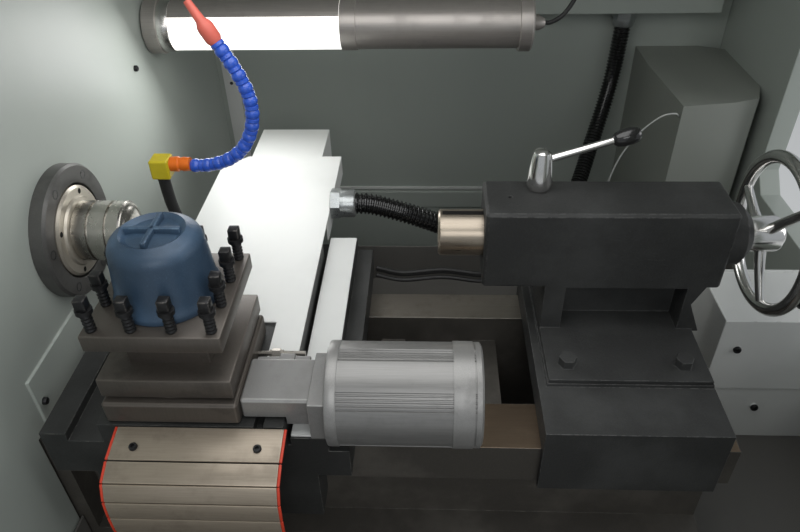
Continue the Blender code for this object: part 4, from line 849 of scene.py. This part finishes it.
class LATHE_OT_tool_post(bpy.types.Operator):
    """Makes the tool post with its clamp bolts and its cap"""

    bl_idname = "lathe.tool_post"
    bl_label = "Tool post"

    centre = (0.228, -0.1965)

    def execute(self, context):
        colours = context.scene.lathe_colours
        iron = machined("post_iron", (0.105, 0.092, 0.08), 0.4, (1, 1, 0.04), 0.6, 0.5)
        dark = machined("clamp_iron", (0.07, 0.068, 0.065), 0.42, (1, 1, 0.04), 0.5, 0.5)
        self.block_piece(iron)
        self.bolts(blackened("bolt_black"))
        self.cap(tuple(colours.cap))
        dress("tool_post_base", 0.0012, iron)
        return {"FINISHED"}

    def block_piece(self, iron):
        shape = new_shape()
        u, v = self.centre
        flange, neck = 0.082, 0.051
        for half, low, high in ((flange, -0.0555, -0.0265), (flange, 0.0205, 0.044), (neck, -0.03, 0.024)):
            faces = block(shape, at(u - half, v - half, low), at(u + half, v + half, high))
            soften(shape, 0.0018, 2, faces=faces)
        put("tool_post_block_finished", shape, iron, "tool_post", "cast_iron", "tool_post_block", merge=FINE)

    def bolts(self, black):
        shape = new_shape()
        row = 0.07  # from the middle to the outer bolts
        pitch, crest, root, collar = 0.005, 0.0067, 0.0058, 0.0098
        neck, top, square = 0.0765, 0.0915, Vector((0.0066, 0.0066, 0))
        shares = (-1, -0.34, 0.34, 1)
        places = sorted({(a, b) for a in shares for b in shares if 1 in (abs(a), abs(b))})
        for a, b in places:
            foot = at(self.centre[0] + a * row, self.centre[1] + b * row, 0)
            ridges = [(0.0145, 0), (0.0145, 0.0055)]
            for turn in range(11):
                low = 0.016 + turn * pitch
                ridges += [(low, crest), (low + pitch / 2, root)]
            ridges += [(0.0705, crest), (0.071, collar), (neck, collar), (0.0768, 0.0075), (0.0768, 0)]
            spun(shape, foot, UP, ridges, 20)
            faces = block(shape, foot + UP * neck - square, foot + UP * top + square)
            soften(shape, 0.0014, 2, faces=faces)
        put("clamp_bolts", shape, black, "tool_post", "black_oxide", merge=FINE)

    def cap(self, colour):
        shape = new_shape()
        u, v = self.centre
        low = 0.0443
        skirt = [
            (0, 0), (0, 0.0635), (0.003, 0.0645), (0.008, 0.0643), (0.011, 0.0622), (0.02, 0.0605),
            (0.055, 0.0572), (0.068, 0.0555),
        ]
        dish = [(0.0915, 0.038), (0.0895, 0.0345), (0.087, 0.031), (0.0885, 0.02), (0.089, 0)]
        profile = [(low + rise, radius) for rise, radius in skirt]
        profile += arc((low + 0.07, 0.036), 0.0195, 86, 20, 7)
        profile += [(low + rise, radius) for rise, radius in dish]
        spun(shape, at(u, v, 0), UP, profile, 72)
        for flip in (0, 1):
            side = BACK if flip else ALONG
            across = side.cross(UP) * 0.0032
            start, end = at(u, v, low + 0.083) - side * 0.033, at(u, v, low + 0.083) + side * 0.033
            outline = [start - across, end - across, end + across, start + across]
            soften(shape, 0.0015, faces=prism(shape, outline, UP * 0.0125))
        blue = cast_paint("cap_paint", colour, 0.42, 0.5, (0.1, 0.16, 0.23))
        slot = "blue_cap_paint"
        put("tool_post_cap_finished", shape, blue, "tool_post", slot, "tool_post_cap", merge=FINE)


class LATHE_OT_post_motor(bpy.types.Operator):
    """Makes the tool post's worm housing and motor"""

    bl_idname = "lathe.post_motor"
    bl_label = "Tool post motor"

    axis = (-0.246, -0.077)
    radius = 0.065

    def execute(self, context):
        colour = tuple(context.scene.lathe_colours.motor)
        satin = machined("motor_aluminium", colour, 0.38, (0.03, 1, 1), 0.25, 0.55)
        plain = machined("housing_aluminium", shade(colour, 1.15), 0.4, (1, 1, 1), 0.35, 0.45)
        dress("tool_post_drive", 0.0015, plain)
        self.body(satin)
        self.ends(plain)
        self.oil_union()
        return {"FINISHED"}

    def groove_depth(self, angle):
        """How deep the extrusion is cut at an angle in degrees: groups of five grooves."""
        pitch, half, depth = 4.4, 1.15, 0.0016
        for centre in (38, 92, 146, 218, 322):
            for step in range(-2, 3):
                if abs(angle - centre - step * pitch) < half:
                    return depth
        return 0

    def body(self, satin):
        shape = new_shape()
        start, length = 0.4365, 0.1655
        turn = Matrix.Rotation(math.pi / 2, 4, "Y")
        centre = at(start, *self.axis)
        here = Matrix.Translation(centre) @ turn
        ring = bmesh.ops.create_circle(shape, cap_ends=True, radius=self.radius, segments=480, matrix=here)
        for vert in ring["verts"]:
            out = vert.co - centre
            angle = math.degrees(math.atan2(out.z, -out.y)) % 360
            vert.co = centre + out.normalized() * (self.radius - self.groove_depth(angle))
        made = bmesh.ops.extrude_face_region(shape, geom=shape.faces[:])
        moved = [part for part in made["geom"] if isinstance(part, bmesh.types.BMVert)]
        bmesh.ops.translate(shape, vec=ALONG * length, verts=moved)
        put("post_motor_body", shape, satin, "cross_slide", "aluminium", "tool_post_motor", smooth=40)

    def ends(self, plain):
        centre = at(0, *self.axis)
        shape = new_shape()
        front = [
            (0.4218, 0), (0.4218, 0.063), (0.4228, 0.0655), (0.4245, 0.066), (0.4352, 0.066),
            (0.4365, 0.0652), (0.4365, 0),
        ]
        spun(shape, centre, ALONG, front, 96)
        rear = [
            (0.575, 0), (0.575, 0.0662), (0.5765, 0.0664), (0.6, 0.0662), (0.6, 0.0635), (0.6022, 0.0635),
            (0.6022, 0.0655), (0.6085, 0.0652), (0.611, 0.0615), (0.611, 0),
        ]
        spun(shape, centre, ALONG, rear, 96)
        put("post_motor_ends", shape, plain, "cross_slide", "aluminium")
        heads = new_shape()
        for place in around(0.6105, self.axis, circle=0.05, first=45, count=4):
            socket_screw(heads, place - ALONG * 0.001, ALONG, 0.0045, 0.0014)
        put("post_motor_screws", heads, blackened("screw_black"), "cross_slide", "black_oxide")

    def oil_union(self):
        brass = machined("union_steel", (0.24, 0.225, 0.2), 0.3, (1, 1, 1), 0.4)
        shape = new_shape()
        centre = at(0, -0.172, -0.083)
        tube = [
            (0.3, 0), (0.3, 0.0035), (0.33, 0.0035), (0.33, 0.0052), (0.349, 0.0052), (0.349, 0.0038),
            (0.379, 0.0038), (0.379, 0),
        ]
        spun(shape, centre, ALONG, tube, 20)
        spun(shape, centre, ALONG, [(0.334, 0), (0.334, 0.0072), (0.345, 0.0072), (0.345, 0)], 6)
        put("oil_union", shape, brass, "cross_slide", "ground_steel")


class LATHE_OT_slide_covers(bpy.types.Operator):
    """Makes the slat cover and the white covers of the cross slide"""

    bl_idname = "lathe.slide_covers"
    bl_label = "Slide covers"

    def execute(self, context):
        sizes = context.scene.lathe_sizes
        white = sheet_paint("slide_cover_paint", tuple(context.scene.lathe_colours.covers), 0.34, 0.22)
        for node in ("cross_slide_cover", "cross_drive_cover", "saddle_way_cover"):
            dress(node, sizes.edge / 2, white)
        self.slats()
        return {"FINISHED"}

    def slats(self):
        metal = machined("slat_aluminium", (0.36, 0.305, 0.24), 0.38, (0.03, 1, 1), 0.4, 0.45)
        red = moulded("red_lip", (0.62, 0.05, 0.02), 0.45)
        path = [
            (-0.2903, -0.0945), (-0.335, -0.104), (-0.36, -0.116), (-0.37, -0.139), (-0.3725, -0.167),
            (-0.3725, -0.196),
        ]
        pitch, thick, half_gap, lip = 0.029, 0.0032, 0.0011, 0.0034
        for _ in range(6):
            path.append((path[-1][0], path[-1][1] - pitch))
        strips = new_shape()
        lips = new_shape()
        for first, second in zip(path, path[1:]):
            start, end = at(0, *first), at(0, *second)
            down = (end - start).normalized()
            inward = ALONG.cross(down).normalized() * thick
            gap = down * half_gap
            section = [start + gap, end - gap, end - gap + inward, start + gap + inward]
            for shape, u, reach in ((strips, 0.1605, 0.208), (lips, 0.157, lip), (lips, 0.3686, lip)):
                faces = prism(shape, [place + ALONG * u for place in section], ALONG * reach)
                soften(shape, 0.0009, faces=faces)
        put("apron_slats", strips, metal, "cross_slide", "aluminium", "apron_slat_cover", merge=FINE)
        put("apron_lips", lips, red, "cross_slide", "red_plastic", merge=FINE)
        shape = new_shape()
        out = Vector((0, -0.22, 0.975)).normalized()
        for u in (0.188, 0.34):
            socket_screw(shape, at(u, -0.318, -0.1005) - out * 0.001, out, 0.0052, 0.005)
        put("apron_screws", shape, blackened("screw_black"), "cross_slide", "black_oxide")


class LATHE_OT_coolant(bpy.types.Operator):
    """Makes the coolant hose, its elbow, the segment hose and the nozzle"""

    bl_idname = "lathe.coolant"
    bl_label = "Coolant line"

    axis = (0.005, 0.11)

    def execute(self, context):
        dress("coolant_hose", 0.0004, rubber("hose_rubber"))
        yellow = moulded("yellow_fitting", (0.62, 0.5, 0.02), 0.35)
        dress("coolant_elbow", 0.0012, yellow)
        orange = moulded("orange_fitting", (0.78, 0.16, 0.01), 0.35)
        shape = new_shape()
        profile = [
            (0.1826, 0), (0.1826, 0.0102), (0.194, 0.0108), (0.196, 0.0092), (0.199, 0.0092),
            (0.201, 0.0102), (0.2105, 0.0094), (0.212, 0),
        ]
        spun(shape, at(0, *self.axis), ALONG, profile, 40)
        put("orange_union", shape, orange, "cross_slide", "yellow_plastic")
        self.segments(tuple(context.scene.lathe_colours.hose))
        return {"FINISHED"}

    def segments(self, colour):
        blue = moulded("hose_blue", colour, 0.24, 0.4, 0.15)
        v, w = self.axis
        guide = [
            (0.1955, v, w), (0.2, v, w), (0.225, v, 0.107), (0.26, v - 0.004, 0.116),
            (0.29, v - 0.008, 0.137), (0.309, v - 0.01, 0.172), (0.312, v - 0.01, 0.21),
            (0.3, v - 0.008, 0.246), (0.279, v - 0.004, 0.283),
        ]
        route = curve_through([at(*point) for point in guide], 24)
        pitches, ball_radius = 15, 0.0098
        length = sum((b - a).length for a, b in zip(route, route[1:])) - 1e-5
        places = even(route, length / pitches)
        shape = new_shape()
        for first, second in zip(places[1:], places[2:]):
            along = (second - first).normalized()
            pitch = (second - first).length
            ball = arc((0.28 * pitch, 0), ball_radius, 140, 40, 8)
            socket = [
                (0.62 * pitch, 0.0076), (0.72 * pitch, 0.0092), (0.95 * pitch, 0.0088), (1.02 * pitch, 0.0068)
            ]
            spun(shape, first, along, [(ball[0][0], 0), *ball, *socket, (socket[-1][0], 0)], 28)
        slot = "blue_plastic"
        put("segment_hose", shape, blue, "coolant_line", slot, "coolant_segments", smooth=40, merge=FINE)
        end = places[-1]
        along = (route[-1] - route[-4]).normalized()
        tip = new_shape()
        profile = [
            (-0.002, 0), (-0.002, 0.0075), (0.004, 0.0104), (0.02, 0.0106), (0.024, 0.0098), (0.03, 0.0064),
            (0.056, 0.0048), (0.057, 0.0036), (0.045, 0.0034), (0.045, 0),
        ]
        spun(tip, end, along, profile, 40)
        red = moulded("nozzle_red", (0.72, 0.15, 0.11), 0.35)
        put("nozzle_finished", tip, red, "coolant_line", "red_plastic", "coolant_nozzle")


class LATHE_OT_tailstock(bpy.types.Operator):
    """Makes the tailstock, its quill, lever and handwheel"""

    bl_idname = "lathe.tailstock"
    bl_label = "Tailstock"

    def execute(self, context):
        casting = tuple(context.scene.lathe_colours.casting)
        iron = cast_paint("tailstock_iron", casting, 0.62, 1.2, (0.07, 0.07, 0.068))
        base = cast_paint("base_iron", shade(casting, 1.15), 0.6, 0.8, (0.09, 0.09, 0.088))
        dress("tailstock_body", 0.0022, iron)
        dress("tailstock_base", 0.002, base)
        self.quill()
        self.wheel()
        self.lever()
        return {"FINISHED"}

    def quill(self):
        steel = machined("quill_steel", (0.36, 0.31, 0.25), 0.3, (0.03, 1, 1), 0.45)
        dress("tailstock_quill", 0.0008, steel)
        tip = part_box("tailstock_quill")[0][0] - DATUM.x
        # A thin black strip on top of the quill stands for its keyway: painted shade in place of the groove.
        shape = new_shape()
        block(shape, at(tip + 0.006, -0.0042, 0.0325), at(tip + 0.11, 0.0042, 0.0341))
        black = blackened("keyway_black", (0.012, 0.011, 0.01), 0.7)
        put("quill_keyway", shape, black, "quill", "ground_steel")

    def wheel(self):
        chrome = polished("wheel_chrome", (0.78, 0.77, 0.75), 0.14)
        shape = new_shape()
        centre = at(1.038, 0, 0)
        rim, thickness = 0.1102, 0.0096
        spokes, first, grip_turn = 3, 10, 205
        spun(shape, centre, ALONG, arc((0, rim), thickness, 0, 360, 20), 96)
        hub = [
            (-0.0365, 0), (-0.0365, 0.026), (0.004, 0.026), (0.008, 0.024), (0.011, 0.018), (0.014, 0.016),
            (0.014, 0),
        ]
        spun(shape, centre, ALONG, hub, 48)
        screw = [(-0.3205, 0), (-0.3205, 0.0115), (-0.09, 0.0115)]
        screw += [(-0.09, 0.015), (-0.036, 0.015), (-0.036, 0)]
        spun(shape, centre, ALONG, screw, 32)
        for index in range(spokes):
            angle = math.radians(first + 360 / spokes * index)
            out = Vector((0, math.cos(angle), math.sin(angle)))
            foot, middle = centre - ALONG * 0.012 + out * 0.013, centre - ALONG * 0.009 + out * 0.05
            route = curve_through([foot, middle, centre + out * 0.108], 6)
            follow(shape, route, [0.0085 - 0.0002 * step for step in range(len(route))], 16)
        put("handwheel_finished", shape, chrome, "handwheel", "chrome", "tailstock_handwheel", merge=FINE)
        angle = math.radians(grip_turn)
        foot = centre + Vector((0, math.cos(angle), math.sin(angle))) * 0.109
        grip = new_shape()
        profile = [
            (-0.004, 0), (-0.004, 0.0052), (0.013, 0.0052), (0.0135, 0.009), (0.018, 0.0108),
            (0.05, 0.0128), (0.066, 0.0108), (0.073, 0.006), (0.0742, 0),
        ]
        spun(grip, foot, ALONG, profile, 32)
        put("handwheel_grip", grip, moulded("grip_black", (0.02, 0.02, 0.02), 0.3), "handwheel", "chrome")

    def lever(self):
        chrome = polished("lever_chrome", (0.8, 0.79, 0.77), 0.12)
        foot = at(0.702, 0.026, 0.0613)
        shape = new_shape()
        cone = [
            (-0.015, 0), (-0.015, 0.0075), (0, 0.0078), (0.0002, 0.0165), (0.006, 0.019), (0.012, 0.0185),
            (0.05, 0.0142), (0.057, 0.0118), (0.0605, 0.006), (0.061, 0),
        ]
        spun(shape, foot, UP, cone, 48)
        run = Vector((0.105, 0.012, 0.028))
        start = foot + UP * 0.042
        follow(shape, [start, start + run * 0.5, start + run], [0.0062, 0.0056, 0.0052], 20)
        put("lever_finished", shape, chrome, "lever", "chrome", "tailstock_lever", merge=FINE)
        knob = new_shape()
        length, radius = 0.034, 0.0124
        shares = [
            (-0.14, 0), (-0.14, 0.4), (-0.12, 0.52), (0.0, 0.8), (0.25, 0.97), (0.6, 1.0), (0.85, 0.9),
            (0.97, 0.62), (1.0, 0),
        ]
        profile = [((along - 0.1) * length + 0.003, share * radius) for along, share in shares]
        spun(knob, start + run * (1 - 0.03), run, profile, 32)
        black = moulded("knob_black", (0.015, 0.015, 0.015), 0.22, 0.4)
        put("lever_knob", knob, black, "lever", "black_rubber")


class LATHE_OT_cables(bpy.types.Operator):
    """Makes the ribbed conduit with its fittings, the cable bundle and the pale lead"""

    bl_idname = "lathe.cables"
    bl_label = "Cables"

    def execute(self, context):
        self.conduit(context.scene.lathe_sizes.rib)
        self.bundle()
        self.fittings()
        self.white_lead()
        return {"FINISHED"}

    def fittings(self):
        """The zinc nuts and sleeves over the conduit's two fittings."""
        zinc = machined("fitting_zinc", (0.42, 0.44, 0.44), 0.3, (1, 1, 1), 0.2, 0.8)
        inner, outer, width = 0.0202, 0.0252, 0.0282
        for name, centre, axis, foot, reach, body in (
            ("slide_fitting", at(0, 0.225, -0.092), ALONG, 0.3675, 0.0434, "cross_slide"),
            ("beam_fitting", at(1.0, 0.82, 0.0675), -UP, 0, 0.0335, "frame"),
        ):
            shape = new_shape()
            seam, end = foot + 0.017, foot + reach
            nut = [(foot, 0.02), (foot, width), (seam, width), (seam, 0.02), (foot, 0.02)]
            spun(shape, centre, axis, nut, 6)
            seam = foot + 0.0172
            sleeve = [(seam, inner), (seam, outer), (end - 0.003, outer)]
            spun(shape, centre, axis, [*sleeve, (end, 0.0238), (end, inner), (seam, inner)], 40)
            put(name, shape, zinc, body, "ground_steel", merge=FINE)

    def white_lead(self):
        """The thin pale lead behind the tailstock."""
        pale = moulded("lead_white", (0.55, 0.56, 0.54), 0.4)
        points = [
            (1.066, 0.515, -0.06), (1.05, 0.5, -0.045), (1.02, 0.495, -0.05), (0.985, 0.5, -0.09),
            (0.955, 0.51, -0.16), (0.94, 0.52, -0.26), (0.935, 0.53, -0.36),
        ]
        cable("box_lead", points, 0.0017, pale, "frame", "white_paint")

    def route(self):
        """The conduit's places from the slide's fitting to the one under the beam."""
        v, w = 0.225, -0.092
        underside, fitting, gap = 0.068, 0.034, 0.0003
        end = underside - fitting - gap
        points = [
            (0.4113, v, w), (0.4193, v, w), (0.45, v, w - 0.004), (0.53, v, w - 0.03),
            (0.62, v + 0.02, -0.175), (0.72, v + 0.09, -0.28), (0.81, 0.45, -0.34), (0.89, 0.6, -0.32),
            (0.95, 0.73, -0.22), (0.99, 0.805, -0.1), (1.0, 0.82, end - 0.008), (1.0, 0.82, end),
        ]
        return curve_through([at(*point) for point in points], 20)

    def conduit(self, pitch):
        black = moulded("conduit_black", (0.01, 0.01, 0.01), 0.24, 0.35, 0.08)
        radius, sides = 0.0192, 28
        shares = (0.84, 1.0, 1.0, 0.84)  # of the radius, over one rib
        ribs = len(shares)
        places = even(self.route(), pitch / ribs)
        near_share = 0.36  # of the length, up to the place that moves with the saddle
        margin, tail = 8, 40  # places at the ends of a piece that ride on one body
        split = int(len(places) * near_share) // ribs * ribs
        for name, start, end in (("conduit_near", 0, split), ("conduit_far", split, len(places) - 1)):
            shape = new_shape()
            run = places[start : end + 1]
            follow(shape, run, [radius * shares[(start + index) % ribs] for index in range(len(run))], sides)
            piece = piece_of(name, shape, black, 50)
            if start == 0:
                first, last = places[margin], places[split - margin]
                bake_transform(piece, "cross_slide", "saddle", start=tuple(first), end=tuple(last))
                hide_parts("cable_conduit")
            else:
                first, last = places[split + margin], places[-tail]
                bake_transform(piece, "saddle", "frame", start=tuple(first), end=tuple(last))

    def bundle(self):
        black = rubber("cable_black")
        for index, (v, w) in enumerate(((0.128, -0.188), (0.138, -0.183), (0.134, -0.176), (0.147, -0.189))):
            points = [
                (0.452, v - 0.004, w + 0.01), (0.5, v, w - 0.004), (0.57, v + 0.004, w),
                (0.64, v - 0.003, w - 0.003), (0.7, v + 0.03, w - 0.02), (0.74, v + 0.09, w - 0.09),
            ]
            piece = lead("machine_cable_%d" % (index + 1), points, 0.0038, black)
            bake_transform(piece, "saddle", "frame", start=tuple(at(*points[0])), end=tuple(at(*points[-1])))


class LATHE_OT_lamp(bpy.types.Operator):
    """Finishes the tube lamp and makes its reflector, its ring and its cable"""

    bl_idname = "lathe.lamp"
    bl_label = "Work lamp"

    axis = (0.49, 0.146)

    def execute(self, context):
        metal = machined("lamp_aluminium", (0.42, 0.39, 0.365), 0.36, (0.03, 1, 1), 0.15, 0.6)
        dress("work_lamp_housing", 0.001, metal)
        dress("work_lamp_end_cap", 0.001, metal)
        coat("work_lamp_tube", glowing("lamp_glow", (1, 0.99, 0.95), 1.4))
        self.shell(metal)
        points = [
            (0.758, *self.axis), (0.776, 0.49, 0.148), (0.8, 0.492, 0.166), (0.822, 0.5, 0.21),
            (0.836, 0.51, 0.3), (0.84, 0.515, 0.45), (0.84, 0.515, 0.615),
        ]
        cable("lamp_cable", points, 0.0042, rubber("cable_black"), "frame")
        return {"FINISHED"}

    def shell(self, metal):
        """The reflector over the glass, open towards the chamber, and the bright ring by the end cap."""
        shape = new_shape()
        outline = []
        steps = 24
        for radius, start, end in ((0.0482, 35, 215), (0.0463, 215, 35)):
            for step in range(steps + 1):
                outline.append((radius, math.radians(start + (end - start) * step / steps)))
        v, w = self.axis
        places = [at(0.0515, v - r * math.cos(a), w + r * math.sin(a)) for r, a in outline]
        prism(shape, places, ALONG * 0.323)
        put("lamp_reflector", shape, metal, "frame", "aluminium")
        ring = new_shape()
        inner, outer, left, right = 0.0462, 0.0486, 0.0295, 0.051
        profile = [(left, inner), (left, outer), (0.0495, outer), (right, 0.0476), (right, inner)]
        spun(ring, at(0, v, w), ALONG, [*profile, (left, inner)], 48)
        put("lamp_ring", ring, polished("ring_chrome", (0.7, 0.68, 0.66), 0.2), "frame", "chrome")


class LATHE_OT_door(bpy.types.Operator):
    """Finishes the sliding door, its pane, handle and rail"""

    bl_idname = "lathe.door"
    bl_label = "Sliding door"

    def execute(self, context):
        outside = sheet_paint("door_paint", tuple(context.scene.lathe_colours.outside), 0.36, 0.08)
        dress("sliding_door", 0.003, outside, 3)
        dress("door_handle", 0.001, rubber("handle_black", (0.02, 0.02, 0.02), 0.35))
        dress("door_rail", 0.001, machined("rail_steel", (0.5, 0.5, 0.5), 0.3))
        coat("door_window", clear("pane_glass"))
        return {"FINISHED"}


class LATHE_OT_controls(bpy.types.Operator):
    """Finishes the operator panel, its screen, stop button and knob"""

    bl_idname = "lathe.controls"
    bl_label = "Operator panel"

    def execute(self, context):
        dress("operator_panel", 0.0015, moulded("console_grey", (0.07, 0.075, 0.08), 0.45))
        dress("feed_knob", 0.001, moulded("knob_black", (0.015, 0.015, 0.015), 0.22, 0.4))
        dress("emergency_stop", 0.0008, moulded("stop_red", (0.6, 0.02, 0.015), 0.28, 0.3))
        coat("control_screen", moulded("screen_dark", (0.012, 0.02, 0.03), 0.12, 0.6, 0.0))
        return {"FINISHED"}


class LATHE_PT_pieces(bpy.types.Panel):
    """Lists the pieces of the lathe"""

    bl_label = "Lathe"
    bl_idname = "LATHE_PT_pieces"
    bl_space_type = "VIEW_3D"
    bl_region_type = "UI"
    bl_category = "Lathe"

    def draw(self, context):
        for group in ("lathe_colours", "lathe_sizes", "lathe_stage"):
            settings = getattr(context.scene, group)
            box = self.layout.box()
            for name in settings.bl_rna.properties.keys():
                if name not in ("rna_type", "name"):
                    box.prop(settings, name)
        for operator in OPERATORS:
            self.layout.operator(operator.bl_idname)


OPERATORS = (
    LATHE_OT_stage,
    LATHE_OT_enclosure,
    LATHE_OT_bed,
    LATHE_OT_drive,
    LATHE_OT_spindle,
    LATHE_OT_tool_post,
    LATHE_OT_post_motor,
    LATHE_OT_slide_covers,
    LATHE_OT_coolant,
    LATHE_OT_tailstock,
    LATHE_OT_cables,
    LATHE_OT_lamp,
    LATHE_OT_door,
    LATHE_OT_controls,
)
SETTINGS = {"lathe_colours": LatheColours, "lathe_sizes": LatheSizes, "lathe_stage": LatheStage}


def register():
    for group in (*SETTINGS.values(), *OPERATORS, LATHE_PT_pieces):
        bpy.utils.register_class(group)
    for name, group in SETTINGS.items():
        setattr(bpy.types.Scene, name, bpy.props.PointerProperty(type=group))


def unregister():
    for name in SETTINGS:
        delattr(bpy.types.Scene, name)
    for group in (*SETTINGS.values(), *OPERATORS, LATHE_PT_pieces):
        bpy.utils.unregister_class(group)


def main():
    register()
    for operator in OPERATORS:
        getattr(bpy.ops.lathe, operator.bl_idname.split(".")[1])()


if __name__ == "__main__":
    main()
